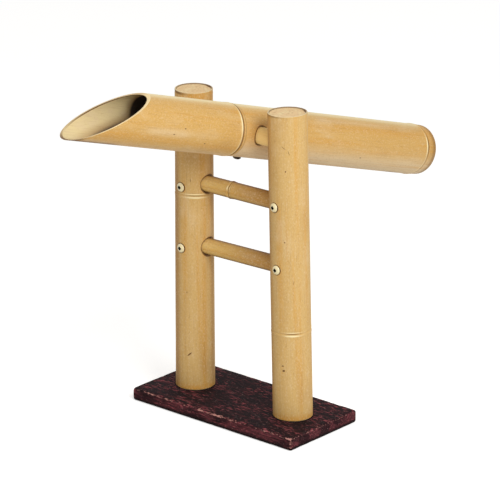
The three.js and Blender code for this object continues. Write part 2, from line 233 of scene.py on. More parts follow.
class BambooSettings(bpy.types.PropertyGroup):
    """Colours of the dried bamboo."""

    tube_skin: colour("Tube skin", "Satin skin of the spout tube", "#d6aa62")
    post_skin: colour("Post skin", "Satin skin of the posts", "#d7b170")
    rung_skin: colour("Rung skin", "Satin skin of the rungs", "#e9c172")
    # Gold is also painted highlight down the left post's lit side
    gold: colour("Gold", "Warmer streaks in the skin", "#d89c40")
    # Pale is also the painted reflection of the floor on the tube's underside
    pale: colour("Pale", "Paler patches in the skin", "#e8cfa6")
    # Brown is also painted shade and shadow, in the weather patches
    brown: colour("Brown", "Weathered streaks and blotches", "#a5733f")
    # Dark brown is also painted shade: in grooves, along edges and round holes
    dark_brown: colour("Dark brown", "Pits, scratches and the grooves at the nodes", "#6b4526")
    # The crest colour is also painted highlight, on the lit side of the rings and along the tube's top
    crest: colour("Crest", "Rubbed crest of a node's ring", "#ffefbc")
    cut: colour("Cut", "Sawn wall at the mouth", "#ffe3ac")
    post_cut: colour("Post cut", "Rims of the posts, yellowed by the weather", "#fae4b4")
    bundle: colour("Bundle", "Fibre bundles in a cut wall", "#d2ab74")
    inside: colour("Inside", "Pithy inner wall near the mouth", "#ead4a0")
    # Deep inside is the colour of the painted shadow in the spout
    inside_deep: colour("Deep inside", "Inner wall that standing water has blackened", "#4e433b")
    septum: colour("Septum", "Papery wall across the culm", "#f2cf9c")
    # Painted light: the dowel is paler than its bare wood, so its stub stays bright where the right post and
    # the tube shade it
    dowel: colour("Dowel", "Bare wood of the axle", "#fcd88c")
    plug: colour("Plug", "Bare wood of the plugs", "#c9a877")


class MetalSettings(bpy.types.PropertyGroup):
    """Colours of the screws."""

    ivory: colour("Ivory lacquer", "Lacquered heads of the rungs' screws", "#f2e4b4")
    # The recess colour is painted shade in the cross recesses, and the colour of scuffs on steel
    recess: colour("Recess", "Dirt in the cross recesses", "#171004")
    dark_steel: colour("Dark steel", "Head of the axle's screw", "#4a4036")
    zinc: colour("Zinc", "Plated screws under the board", "#b9b7ae")


class StageSettings(bpy.types.PropertyGroup):
    """Camera, floor and lamps."""

    azimuth: turn("Azimuth", "Camera's direction from -Y towards +X", 40.875)
    elevation: turn("Elevation", "Camera's height above level", 18.990)
    distance: length("Distance", "From the camera to the point it looks at", 3170.1)
    target: bpy.props.FloatVectorProperty(
        name="Target",
        description="The point that the camera looks at",
        default=(8.676 * MM, 0, 176.23 * MM),
        subtype="XYZ",
        unit="LENGTH",
    )
    lens: strength("Lens", "Focal length in millimetres on a sensor 36 mm wide", 226.99)
    floor_size: length("Floor size", "Side of the square floor", 16000)
    floor: colour("Floor", "Plain pale floor", "#f2f1ef")
    key_azimuth: turn("Key azimuth", "Key lamp's direction from -Y towards +X", 72)
    key_elevation: turn("Key elevation", "Key lamp's height above level", 38)
    key_distance: length("Key distance", "From the key lamp to the object", 1700)
    key_size: length("Key size", "Side of the square key lamp", 900)
    key_power: strength("Key power", "Key lamp in watts", 16.4)
    fill_azimuth: turn("Fill azimuth", "Fill lamp's direction from -Y towards +X", 12)
    fill_elevation: turn("Fill elevation", "Fill lamp's height above level", 20)
    fill_distance: length("Fill distance", "From the fill lamp to the object", 2200)
    fill_size: length("Fill size", "Side of the square fill lamp", 1200)
    fill_power: strength("Fill power", "Fill lamp in watts", 2.4)
    room_light: strength("Room light", "Strength of the white room around the object", 0.5)
    floor_lift: strength("Floor lift", "Light added to the floor where the camera sees it", 0.5)


GROUPS = {
    "board": BoardSettings,
    "posts": PostSettings,
    "rungs": RungSettings,
    "rocker": RockerSettings,
    "screws": ScrewSettings,
    "bamboo": BambooSettings,
    "metal": MetalSettings,
    "stage": StageSettings,
}


class ShishiOdoshiSettings(bpy.types.PropertyGroup):
    """All settings of the shishi odoshi, one group for each kind of part."""

    __annotations__ = {
        label: bpy.props.PointerProperty(type=kind, name=label.capitalize(), description=kind.__doc__)
        for label, kind in GROUPS.items()
    }


def settings():
    return bpy.context.scene.shishi_odoshi


def one_of(group, which, label):
    """The setting of one of a pair, such as the left post's height."""
    return getattr(group, f"{which}_{label}")


# Places


@dataclass
class Place:
    """Where a round piece stands: its origin, the way it runs, and where the angles round it start from."""

    origin: np.ndarray
    along: np.ndarray
    start: np.ndarray

    @property
    def side(self):
        """The direction a quarter turn on from the start."""
        return np.cross(self.along, self.start)

    def points(self, stations, radii, angles):
        """Grid of points: origin + station x along + radius x (cos angle x start + sin angle x side)."""
        spoke = np.cos(angles)[..., None] * self.start + np.sin(angles)[..., None] * self.side
        return self.origin + stations[..., None] * self.along + radii[..., None] * spoke

    @property
    def euler(self):
        """The turn that brings x, y, z onto start, side, along."""
        return Matrix(np.column_stack([self.start, self.side, self.along]).tolist()).to_euler()


def vector(x, y, z):
    return np.array([x, y, z], dtype=float)


def angles_round(count):
    return np.linspace(0, 2 * np.pi, count, endpoint=False)


# Meshes

SHARP_EDGE = math.radians(40)
BAR_COLUMNS = 64


def mesh_piece(name, points, faces, materials, face_materials):
    """A mesh object of points and faces, smooth but for its sharp edges."""
    mesh = bpy.data.meshes.new(name)
    mesh.from_pydata(points.reshape(-1, 3).tolist(), [], faces)
    for material in materials:
        mesh.materials.append(material)
    mesh.polygons.foreach_set("material_index", np.asarray(face_materials, dtype=np.int32))
    mesh.validate()
    mesh.shade_smooth()
    mesh.set_sharp_from_angle(angle=SHARP_EDGE)
    piece = bpy.data.objects.new(name, mesh)
    bpy.context.scene.collection.objects.link(piece)
    return piece


def write_marks(piece, marks):
    """Stores each mark as an attribute with one number for each of the piece's points."""
    for label, values in marks.items():
        layer = piece.data.attributes.new(label, "FLOAT", "POINT")
        layer.data.foreach_set("value", values.reshape(-1).astype(np.float32))


def ring_faces(rows, columns, looped=False):
    """Quads between neighbouring rows of a grid whose columns close round. Looped rows close as well."""
    here = np.arange(rows if looped else rows - 1)[:, None]
    column = np.arange(columns)[None, :]
    above = (here + 1) % rows
    beside = (column + 1) % columns
    corners = [here * columns + column, here * columns + beside, above * columns + beside]
    return np.stack([*corners, above * columns + column], axis=-1).reshape(-1, 4)


def pointed(values):
    """A grid's values at the points of a closed piece: the first point, the rows between, the last point."""
    return np.concatenate([values[:1, 0], values[1:-1].reshape(-1, *values.shape[2:]), values[-1:, 0]])


def closed_piece(name, grid, materials, row_materials, marks=None):
    """A closed surface from a grid of points whose first and last rows each close in one point.

    Marks are grids of numbers, one for each point of the grid.
    """
    rows, columns = grid.shape[:2]
    points = pointed(grid)
    quads = ring_faces(rows - 2, columns) + 1
    column = np.arange(columns)
    beside = (column + 1) % columns
    foot = np.stack([np.zeros(columns, int), beside + 1, column + 1], axis=-1)
    last_row = 1 + (rows - 3) * columns
    head = np.stack([last_row + column, last_row + beside, np.full(columns, len(points) - 1)], axis=-1)
    faces = foot.tolist() + quads.tolist() + head.tolist()
    by_band = [row_materials[0], *row_materials[1:-2], row_materials[-1]]
    piece = mesh_piece(name, points, faces, materials, np.repeat(by_band, columns))
    write_marks(piece, {label: pointed(values) for label, values in (marks or {}).items()})
    return piece


def looped_piece(name, grid, materials, row_materials, marks):
    """A closed surface like a ring, from a grid whose last row runs on into its first."""
    rows, columns = grid.shape[:2]
    faces = ring_faces(rows, columns, looped=True).tolist()
    piece = mesh_piece(name, grid, faces, materials, np.repeat(row_materials, columns))
    write_marks(piece, marks)
    return piece


def cut_away(piece, cutters):
    """Cuts closed shapes out of a piece, leaves their finish on the cut walls, and clears them away."""
    for cutter in cutters:
        cut = piece.modifiers.new(cutter.name, "BOOLEAN")
        cut.operation = "DIFFERENCE"
        cut.solver = "EXACT"
        cut.material_mode = "TRANSFER"
        cut.object = cutter
    depsgraph = bpy.context.evaluated_depsgraph_get()
    whole = piece.data
    piece.data = bpy.data.meshes.new_from_object(
        piece.evaluated_get(depsgraph), preserve_all_data_layers=True, depsgraph=depsgraph
    )
    piece.modifiers.clear()
    piece.data.name = piece.name
    piece.data.set_sharp_from_angle(angle=SHARP_EDGE)
    bpy.data.meshes.remove(whole)
    for cutter in cutters:
        bpy.data.meshes.remove(cutter.data)


def settle(piece, body, slot, *nodes):
    """Puts a finished piece on its body, in place of the packed nodes that it stands for."""
    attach(piece, body)
    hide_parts(*nodes)


def turned_bar(name, place, profile, material, columns=BAR_COLUMNS):
    """A round solid: its profile is a list of stations and radii, turned about the place's line."""
    stations, radii = np.array([(profile[0][0], 0), *profile, (profile[-1][0], 0)]).T
    grid = place.points(stations[:, None], radii[:, None], angles_round(columns)[None, :])
    return closed_piece(name, grid, [material], [0] * len(stations))


def over_angles(values, columns):
    """A grid with a row for each value, which is a number or an array over the angles."""
    return np.array([np.broadcast_to(value, columns) for value in values])


def rounded(ease, count):
    """Rows of an edge rounded by a quarter of a circle: how far each lies inside its end and its side."""
    turns = np.linspace(0, np.pi / 2, count)
    return list(zip(ease * (1 - np.sin(turns)), ease * (1 - np.cos(turns))))


# Culms

SKIN, CUT, INSIDE, SEPTUM = range(4)
CULM_COLUMNS = 128
COARSE_STEP = 2.6 * MM
FINE_STEP = 0.28 * MM
# How far from a node its rings need fine steps, as a share of their reach
FINE_REACH_SHARE = 1.3
# The fillet round a diaphragm as a share of the wall, and the dome of its disc as a share of the fillet
FILLET_SHARE = 1.4
DOME_SHARE = 0.12
DISC_SHARES = (0, 0.25, 0.5, 0.75)
# Turns of the skin's two slow waves and of the rings' wander along a culm, in radians per metre
LONG_WAVE = 17
SHORT_WAVE = 31
WANDER = 40
# The share of a bud's groove in which it reaches its full depth
GROOVE_START_SHARE = 0.125
# Marks on a culm's skin: crests and grooves take painted highlight and shade, and some patches painted light
SKIN_MARKS = ("crest", "groove", "gold", "weather", "pale")


def bell(x, middle, width):
    return np.exp(-(((x - middle) / width) ** 2))


def bell_round(angles, middle, width):
    """A bell round a circle: 1 at the middle angle, and the same after a whole turn."""
    return bell(np.angle(np.exp(1j * (angles - middle))), 0, width)


# A node's rings in section, as bells: their middles and widths as shares of the rings' reach
LIP_RISE, LIP_DROP = (-0.15, 0.45), (-0.15, 0.16)
LIP_GROOVE, FAINT_RING = (0.2, 0.14), (0.6, 0.18)
LIP_CREST, FAINT_CREST = (-0.22, 0.22), (0.6, 0.14)
LIP_DIRT_AND_SHADE, FAINT_DIRT_AND_SHADE = (0.27, 0.19), (0.9, 0.12)
# Their heights beside the settings' one, and the dirt and painted shade behind the fainter ring
LIP_SHARE, GROOVE_SHARE, FAINT_SHARE = 0.8, 0.5, 0.4
FAINT_DIRT_SHARE = 0.5


def ring_height(past):
    """Rings at a node, as a share of their height, from the distance past it as a share of their reach.

    A lip swells slowly and drops steeply, a narrow groove lies behind it, and a fainter ring follows.
    """
    lip = LIP_SHARE * np.where(past < LIP_RISE[0], bell(past, *LIP_RISE), bell(past, *LIP_DROP))
    return lip - GROOVE_SHARE * bell(past, *LIP_GROOVE) + FAINT_SHARE * bell(past, *FAINT_RING)


def ring_crest(past, second_share):
    """How pale the crests are, with painted highlight: the lip's wholly, the fainter ring's by its share."""
    return np.maximum(bell(past, *LIP_CREST), second_share * bell(past, *FAINT_CREST))


def ring_groove(past):
    """How dark the grooves behind the lip and behind the fainter ring are, with dirt and painted shade."""
    return np.maximum(bell(past, *LIP_DIRT_AND_SHADE), FAINT_DIRT_SHARE * bell(past, *FAINT_DIRT_AND_SHADE))


@dataclass
class Patch:
    """A tint on a culm's skin between two shares of its length, as a bell round an angle."""

    tint: str
    from_share: float
    to_share: float
    degrees: float
    wide_degrees: float
    most_share: float
    soft_share: float = 0.006

    def cover(self, along, angles):
        """How much of the tint lies at each point. Along is the point's share of the culm's length."""
        ends = np.minimum(along - self.from_share, self.to_share - along)
        inside = np.clip(ends / self.soft_share, 0, 1)
        across = bell_round(angles, math.radians(self.degrees), math.radians(self.wide_degrees))
        return self.most_share * inside * across


@dataclass
class Ring:
    """A node's rings: their share of the full height, and the angle of their painted highlight and shade.

    The crest is pale all round by the least share, and wholly pale in a bell of painted highlight round
    the angle. The groove is dark in the same way, with dirt by its own least share and painted shade in
    the bell. The second share is how pale the fainter ring is beside the lip. The rings may lie a little
    past their node.
    """

    height_share: float
    degrees: float
    wide_degrees: float
    least_share: float = 0.0
    dirt_share: float = 0.0
    second_share: float = 0.0
    offset: float = 0.0


@dataclass
class Groove:
    """The hollow that a branch bud leaves: it starts at a node, runs along the culm and fades away."""

    node: float
    degrees: float
    wide_degrees: float
    run: float
    depth: float

    def sunk(self, stations, angles):
        """Its depth at each point: a bell across the culm that starts sharply and fades as a bell."""
        across = bell_round(angles, math.radians(self.degrees), math.radians(self.wide_degrees))
        up = (stations - self.node) / self.run
        fade = np.clip(up / GROOVE_START_SHARE, 0, 1) * bell(np.clip(up, 0, None), 0, 1)
        return self.depth * across * fade


@dataclass
class Culm:
    """A bamboo culm: where it stands, its nodes, its skin's radius at a list of stations, and its walls."""

    place: Place
    nodes: list
    stations: list
    radii: list
    wall: float
    septum: float
    ring_reach: float
    ring_height: float
    rings: tuple
    ring_wave: float
    wave_depth: float
    wave_phase: float
    patches: tuple
    ring_saddle: float = 0.0
    saddle_angle: float = 0.0
    grooves: tuple = ()

    def taper(self, stations):
        """Radius of the bare skin, without rings: straight lines between the listed stations."""
        return np.interp(stations, self.stations, self.radii)

    def from_node(self, stations, angles, node, ring):
        """Distance past a node, as a share of the rings' reach.

        A ring wanders a little round the culm, by sines of the angle. The first node's is bent into a
        saddle as well: its station falls by the cosine of twice the angle from the saddle's own.
        """
        wander = self.ring_wave * (np.sin(angles + WANDER * node) + np.sin(3 * angles) / 2)
        if node == self.nodes[0]:
            wander = wander - self.ring_saddle * np.cos(2 * (angles - self.saddle_angle))
        return (stations - node - ring.offset - wander) / self.ring_reach

    def skin(self, stations, angles):
        """Radius of the skin: the taper, the rings at each node, a slow wave, and the buds' grooves.

        The wave is two sines of angle and station, kept below zero.
        """
        radius = self.taper(stations)
        for node, ring in zip(self.nodes, self.rings):
            past = self.from_node(stations, angles, node, ring)
            radius = radius + ring.height_share * self.ring_height * ring_height(past)
        wave = np.sin(2 * angles + LONG_WAVE * stations + self.wave_phase)
        wave = wave + np.sin(angles - SHORT_WAVE * stations)
        radius = radius + self.wave_depth * (wave - 2) / 4
        for groove in self.grooves:
            radius = radius - groove.sunk(stations, angles)
        return radius

    def marks(self, stations, angles):
        """How much crest, groove and patches of each tint lie at each point, from 0 to 1."""
        marks = {mark: np.zeros(stations.shape) for mark in SKIN_MARKS}
        for node, ring in zip(self.nodes, self.rings):
            past = self.from_node(stations, angles, node, ring)
            # A bell round the ring's angle: painted highlight on the crest, and painted shade in the groove
            bare = bell_round(angles, math.radians(ring.degrees), math.radians(ring.wide_degrees))
            rubbed = ring.least_share + (1 - ring.least_share) * bare
            marks["crest"] = np.maximum(marks["crest"], ring_crest(past, ring.second_share) * rubbed)
            groove_dirt_and_shade = ring.height_share * (ring.dirt_share + (1 - ring.dirt_share) * bare)
            marks["groove"] = np.maximum(marks["groove"], groove_dirt_and_shade * ring_groove(past))
        start, end = self.stations[0], self.stations[-1]
        for patch in self.patches:
            cover = patch.cover((stations - start) / (end - start), angles)
            marks[patch.tint] = np.maximum(marks[patch.tint], cover)
        return marks


@dataclass
class Row:
    """A row of a culm's surface: its stations, its radii, its finish, and how dark an edge's painted shade
    is.

    All but the finish are numbers or arrays over the angles. The edge goes from 0 to 1.
    """

    station: float
    radius: float
    finish: int
    edge: float = 0.0


def skin_rows(culm, stations, angles):
    return [Row(station, culm.skin(station, angles), SKIN) for station in stations]


def fillet_rows(floor, radius, fillet, into, count):
    """Stations and radii of a quarter of a circle, from a floor to the wall round it."""
    return [(floor - into * up, radius - inward) for inward, up in rounded(fillet, count)]


def septum_rows(floor, radius, fillet, into):
    """Rows of a diaphragm seen from its open side: a disc from its middle out, then a fillet to the wall.

    The disc is domed by a parabola. Into is 1 where the open side lies below the floor, and -1 above.
    """
    dome = DOME_SHARE * fillet
    disc = [(floor - into * dome * (1 - out**2), (radius - fillet) * out) for out in DISC_SHARES]
    corner = fillet_rows(floor, radius, fillet, into, 6)
    return [Row(station, at_radius, SEPTUM) for station, at_radius in disc + corner]


def steps_along(start, end, nodes, reach):
    """Stations from start to end: coarse steps, with fine ones where a node's rings are."""
    plain = np.arange(start, end, COARSE_STEP)
    near = FINE_REACH_SHARE * reach
    fine = [np.arange(node - near, node + near, FINE_STEP) for node in nodes]
    plain = plain[[all(abs(station - node) > near for node in nodes) for station in plain]]
    inner = np.sort(np.concatenate([plain, *fine]))
    inner = inner[(inner > start + FINE_STEP) & (inner < end - FINE_STEP)]
    return np.concatenate([[start], inner, [end]])


def culm_piece(name, culm, rows, materials, columns, make=closed_piece):
    """Joins rows into one surface with the culm's marks on it."""
    stations = over_angles([row.station for row in rows], columns)
    radii = over_angles([row.radius for row in rows], columns)
    angles = np.broadcast_to(angles_round(columns), stations.shape)
    finishes = [row.finish for row in rows]
    on_skin = (np.array(finishes) == SKIN)[:, None]
    marks = {label: values * on_skin for label, values in culm.marks(stations, angles).items()}
    marks["edge"] = over_angles([row.edge for row in rows], columns)
    return make(name, culm.place.points(stations, radii, angles), materials, finishes, marks)


def hollow_between(name, culm, lower, upper, material):
    """The closed hollow of an internode between two nodes, as a shape to cut away."""
    floor, roof = lower + culm.septum / 2, upper - culm.septum / 2
    at_floor, at_roof = culm.taper(np.array([floor, roof])) - culm.wall
    fillet = FILLET_SHARE * culm.wall
    up = fillet_rows(floor, at_floor, fillet, -1, 5)
    down = fillet_rows(roof, at_roof, fillet, 1, 5)[::-1]
    return turned_bar(name, culm.place, up + down, material)


# Posts, rungs and the rocker, as culms

SIDES = {"left": -1, "right": 1}
# Where the skin's waves start on each culm, in radians
WAVE_PHASES = {"left": 0.4, "right": 2.1, "upper": 1.3, "lower": 0.2, "tube": 2.6}
# How far inside its packed box the tail ends
INSIDE_BOX = 0.1 * MM
# How far ahead of its middle node the tube starts to thin, as a share of the rings' reach
SHOULDER_SHARE = 0.2

# Patches of weather and dirt, and of painted shade, shadow and highlight where marked: a tint, from and
# to shares of the length, the middle and the half width in degrees, how much of it shows, and the share
# of the length in which it fades
POST_PATCHES = {
    "left": (
        # Painted highlight down the left post's lit right side, over a real golden strip
        Patch("gold", 0.0, 1.0, 73, 8, 0.5),
        Patch("gold", 0.94, 1.0, 20, 60, 0.75),
        Patch("gold", -0.1, 0.012, 41, 100, 1.0),
        # Painted shadow of the right post on this post's right edge
        Patch("weather", 0.0, 1.0, 105, 11, 0.65),
        # Painted shade on the left edge, away from the light
        Patch("weather", 0.0, 0.95, -26, 18, 0.9),
        Patch("weather", 0.0, 0.66, -8, 7, 0.3),
        Patch("weather", 0.1, 0.6, 12, 3, 0.35),
        # Painted shadow of the tube on the post's upper part
        Patch("weather", 0.68, 0.95, 20, 50, 0.5, 0.1),
        # Darker on the left side at the top node, just below the rim
        Patch("groove", 0.987, 1.1, -15, 35, 0.8),
    ),
    "right": (
        Patch("gold", -0.1, 0.012, 41, 100, 1.0),
        # Painted shade on the left edge, away from the light
        Patch("weather", 0.0, 1.0, -36, 15, 0.7),
        Patch("weather", 0.3, 0.8, 8, 3, 0.2),
        # Darker on the left side at the top node, just below the rim
        Patch("groove", 0.991, 1.1, -10, 38, 0.7),
    ),
}
RUNG_PATCHES = (
    # Painted shadow of the right post over the rung's right part
    Patch("weather", 0.18, 2.0, 60, 90, 1.3, 0.7),
    # Painted shade along the rung's top and bottom edges
    Patch("groove", -1.0, 2.0, -30, 40, 1.4),
    Patch("groove", -1.0, 2.0, 160, 32, 1.4),
    Patch("gold", -1.0, 2.0, 95, 14, 0.5),
    Patch("weather", -1.0, 2.0, 38, 7, 0.5),
    Patch("weather", -1.0, 2.0, 118, 6, 0.4),
)
TUBE_PATCHES = (
    Patch("gold", 0.0, 0.42, 128, 9, 0.4),
    Patch("gold", 0.5, 0.95, 56, 10, 0.4),
    Patch("weather", 0.0, 0.42, 152, 6, 0.4),
    # Painted shade along the underside
    Patch("weather", 0.02, 1.0, 172, 11, 0.8),
    # Paler underside: pale patches, and painted reflection of the floor
    Patch("pale", 0.42, 1.1, 148, 42, 1.0),
    Patch("pale", 0.02, 0.42, 160, 22, 0.6),
    # Painted highlight along the top
    Patch("crest", 0.0, 0.98, 3, 20, 0.8),
    Patch("pale", 0.12, 0.3, 104, 12, 0.5, 0.05),
    Patch("pale", 0.6, 0.9, 36, 9, 0.4, 0.05),
    # Painted shade round the tail's end
    Patch("groove", 0.985, 1.1, 90, 180, 0.6),
    # Painted shade under the tip, and under the tail before its node
    Patch("groove", -0.1, 0.14, 167, 12, 1.0, 0.04),
    Patch("groove", 0.87, 0.95, 168, 8, 0.8, 0.03),
)

# Rings at the nodes, in the order of the culm's nodes. Round each one's angle the crest takes painted
# highlight and the groove painted shade
POST_RINGS = {
    "left": (
        Ring(0.6, degrees=44, wide_degrees=32, least_share=0.1, dirt_share=0.1, second_share=1.0),
        Ring(0.3, degrees=30, wide_degrees=1),
    ),
    "right": (
        Ring(0.8, degrees=44, wide_degrees=26, second_share=0.8),
        Ring(0.1, degrees=30, wide_degrees=1),
    ),
}
RUNG_RINGS = (Ring(1.0, degrees=62, wide_degrees=16, dirt_share=1.0, second_share=0.8),)
TUBE_RINGS = (
    Ring(1.0, degrees=68, wide_degrees=22, least_share=0.5, dirt_share=1.0, second_share=0.15, offset=MM),
    Ring(
        0.9, degrees=72, wide_degrees=20, least_share=0.35, dirt_share=0.5, second_share=0.2, offset=6 * MM
    ),
)


def walls_of(group):
    """The sizes that every kind of culm has among its settings."""
    return {label: getattr(group, label) for label in ("wall", "septum", "ring_reach", "ring_height")}


def post_place(side):
    """A post stands on the board; angles round it run from the spout's side towards the right."""
    posts = settings().posts
    lean = one_of(posts, side, "lean")
    origin = vector(SIDES[side] * posts.offset, 0, settings().board.thickness)
    return Place(origin, vector(-math.sin(lean), 0, math.cos(lean)), vector(0, -1, 0))


def post_culm(side):
    """A post with a node on its way up and one under its rim. The left one has a bud's groove."""
    posts = settings().posts
    height = one_of(posts, side, "height")
    node = one_of(posts, side, "node")
    groove = Groove(node, degrees=66, wide_degrees=11, run=90 * MM, depth=posts.bud_groove)
    return Culm(
        place=post_place(side),
        nodes=[node, height - posts.top_node_depth],
        stations=[0, height],
        radii=[one_of(posts, side, "foot_radius"), one_of(posts, side, "top_radius")],
        **walls_of(posts),
        rings=POST_RINGS[side],
        ring_wave=0.25 * MM,
        wave_depth=0.12 * MM,
        wave_phase=WAVE_PHASES[side],
        patches=POST_PATCHES[side],
        grooves=(groove,) if side == "left" else (),
    )


def axis_at(side, height):
    """Where a post's axis is at a height above the board, along x."""
    place = post_place(side)
    return place.origin[0] + place.along[0] / place.along[2] * height


def rung_place(rung):
    """A rung runs to the right; angles round it run from straight up towards the spout's side."""
    rungs = settings().rungs
    rise = one_of(rungs, rung, "rise")
    origin = vector(0, 0, settings().board.thickness + one_of(rungs, rung, "height"))
    along = vector(math.cos(rise), 0, math.sin(rise))
    return Place(origin, along, vector(-along[2], 0, along[0]))


def rung_culm(rung):
    """A rung is as long as its packed node. Only the upper one has a node."""
    rungs = settings().rungs
    low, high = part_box(f"{rung}_rung")
    place = rung_place(rung)
    return Culm(
        place=place,
        nodes=[-rungs.node_left] if rung == "upper" else [],
        stations=[low.x / place.along[0], high.x / place.along[0]],
        radii=[rungs.radius, rungs.radius],
        **walls_of(rungs),
        rings=RUNG_RINGS,
        ring_wave=0.15 * MM,
        wave_depth=0.1 * MM,
        wave_phase=WAVE_PHASES[rung],
        patches=RUNG_PATCHES,
    )


def tube_place():
    """The tube runs from the pivot down to the tail; angles round it run from its top towards the right."""
    rocker = settings().rocker
    tilt = rocker.tilt
    origin = vector(-rocker.left_shift, 0, rocker.pivot_height)
    along = vector(0, math.cos(tilt), -math.sin(tilt))
    return Place(origin, along, vector(0, -along[2], along[1]))


def tube_culm():
    """The tube is a little thicker ahead of its middle node, and its last patches lie on the tail's stub."""
    rocker = settings().rocker
    node = -rocker.mid_node_reach
    step = SHOULDER_SHARE * rocker.ring_reach
    stub_share = (rocker.tip_reach + rocker.tail_node_reach) / (rocker.tip_reach + rocker.tail_reach)
    stub_patches = (
        Patch("weather", stub_share, 1.1, 110, 60, 0.35),
        Patch("gold", stub_share, 1.1, 40, 40, 0.6),
    )
    return Culm(
        place=tube_place(),
        nodes=[node, rocker.tail_node_reach],
        stations=[-rocker.tip_reach, node - step, node, rocker.tail_node_reach, rocker.tail_reach],
        radii=[
            rocker.spout_radius,
            rocker.spout_node_radius,
            rocker.tail_front_radius,
            rocker.tail_node_radius,
            rocker.tail_end_radius,
        ],
        **walls_of(rocker),
        rings=TUBE_RINGS,
        ring_wave=0.2 * MM,
        wave_depth=0.2 * MM,
        wave_phase=WAVE_PHASES["tube"],
        patches=TUBE_PATCHES + stub_patches,
        ring_saddle=rocker.ring_saddle,
        saddle_angle=math.radians(65),
    )


# Materials

# Sockets of a colour mix: its two colours and its result
COLOUR_A, COLOUR_B, COLOUR_OUT = 6, 7, 2
BUMP_DEPTH = 0.12 * MM

# How wide and long the streaks of a noise are: real ones are finer, and these as coarse as a picture shows
SKIN_FIBRES = (0.9 * MM, 30 * MM)
SKIN_GLOSS = (2.1 * MM, 3.4 * MM)
INSIDE_FIBRES = (0.9 * MM, 22 * MM)
PAPER = (2.2 * MM, 2.2 * MM)
WOOD_GRAIN = (1.1 * MM, 40 * MM)
BOARD_GRAIN = (0.9 * MM, 26 * MM)
WEAR_BREAKS = (1.3 * MM, 3.2 * MM)
LACQUER_DIRT = (1.4 * MM, 1.4 * MM)
SCUFFS = (0.5 * MM, 2.5 * MM)
RECESS_CRUMBS = (0.6 * MM, 0.6 * MM)
# Shifts of a noise away from the others of the same piece
GLOSS_SHIFT = 11.0
WEAR_SHIFT = 3.0
GRAIN_SHIFT = 21.0
PATTERN_SHIFT = 7.0


def add(tree, kind, inputs=None, **options):
    """Adds one node. Options are its own properties; inputs are values, or sockets to link."""
    node = tree.nodes.new(kind)
    for label, value in options.items():
        setattr(node, label, value)
    for label, value in (inputs or {}).items():
        if isinstance(value, bpy.types.NodeSocket):
            tree.links.new(value, node.inputs[label])
        else:
            node.inputs[label].default_value = value
    return node


def new_material(name):
    """An empty material and its node tree."""
    material = bpy.data.materials.new(name)
    material.use_nodes = True
    material.node_tree.nodes.clear()
    return material, material.node_tree


def finished(material, shade, height, strength, look, depth=BUMP_DEPTH):
    """Ends a material with its colour, a relief of a height that a pattern gives, and its look."""
    tree = material.node_tree
    raised = {"Height": height, "Strength": strength, "Distance": depth}
    normal = add(tree, "ShaderNodeBump", raised).outputs["Normal"]
    shader = add(tree, "ShaderNodeBsdfPrincipled", {"Base Color": shade, "Normal": normal, **look})
    add(tree, "ShaderNodeOutputMaterial", {"Surface": shader.outputs["BSDF"]})
    return material


def laid_along(tree, place):
    """Object coordinates turned so that z runs along the piece from its origin."""
    seen = add(tree, "ShaderNodeTexCoord").outputs["Object"]
    laid = {"Vector": seen, "Location": place.origin.tolist(), "Rotation": place.euler}
    return add(tree, "ShaderNodeMapping", laid, vector_type="TEXTURE").outputs["Vector"]


def streaks(tree, coordinates, size, shift=0.0, label="Streaks"):
    """Noise whose grain is as wide and as long as the size says, in metres."""
    across, along = size
    stretch = {"Scale": (1 / across, 1 / across, 1 / along), "Location": (shift, shift, shift)}
    drawn = add(tree, "ShaderNodeMapping", {"Vector": coordinates, **stretch}).outputs["Vector"]
    noise = add(tree, "ShaderNodeTexNoise", {"Vector": drawn, "Scale": 1.0, "Detail": 3.0}, label=label)
    return noise.outputs["Fac"]


def stained(tree, under, tint, pattern, low, high, most_share=1.0):
    """Lays a tint over a colour: none of it where a pattern is at low, and most where it is at high."""
    limits = {"Value": pattern, "From Min": low, "From Max": high, "To Max": most_share}
    cover = add(tree, "ShaderNodeMapRange", limits, interpolation_type="SMOOTHSTEP").outputs["Result"]
    mixed = {0: cover, COLOUR_A: under, COLOUR_B: tint}
    return add(tree, "ShaderNodeMix", mixed, data_type="RGBA").outputs[COLOUR_OUT]


@dataclass
class Pattern:
    """A tint laid on in streaks of noise: how wide and long they are, and how much of it shows."""

    what: str
    across: float
    along: float
    tint: str
    low: float
    high: float
    most_share: float


def patterned(tree, place, shade, patterns, tints):
    """Lays each pattern's tint over a colour in turn, in streaks of its own size."""
    for order, pattern in enumerate(patterns):
        size = (pattern.across, pattern.along)
        noise = streaks(tree, place, size, PATTERN_SHIFT * order, pattern.what)
        tint = getattr(tints, pattern.tint)
        shade = stained(tree, shade, tint, noise, pattern.low, pattern.high, pattern.most_share)
    return shade


@dataclass
class Specks:
    """Round specks, at most one in each cell of a net.

    Every cell draws a number from 0 to 1. Below the first lot it has no speck, and from the full lot on
    its speck shows most. A speck fades between two distances from its middle, as shares of a cell.
    """

    spacing: float
    first_lot: float
    full_lot: float
    outer_share: float
    inner_share: float
    most_share: float


def specked(tree, place, shade, tint, specks):
    """Lays a tint over a colour in specks."""
    net = add(tree, "ShaderNodeTexVoronoi", {"Vector": place, "Scale": 1 / specks.spacing})
    lot = add(tree, "ShaderNodeSeparateColor", {"Color": net.outputs["Color"]}).outputs["Red"]
    limits = {"From Min": specks.first_lot, "From Max": specks.full_lot, "To Max": specks.most_share}
    most = add(tree, "ShaderNodeMapRange", {"Value": lot, **limits}).outputs["Result"]
    away = net.outputs["Distance"]
    return stained(tree, shade, tint, away, specks.outer_share, specks.inner_share, most)


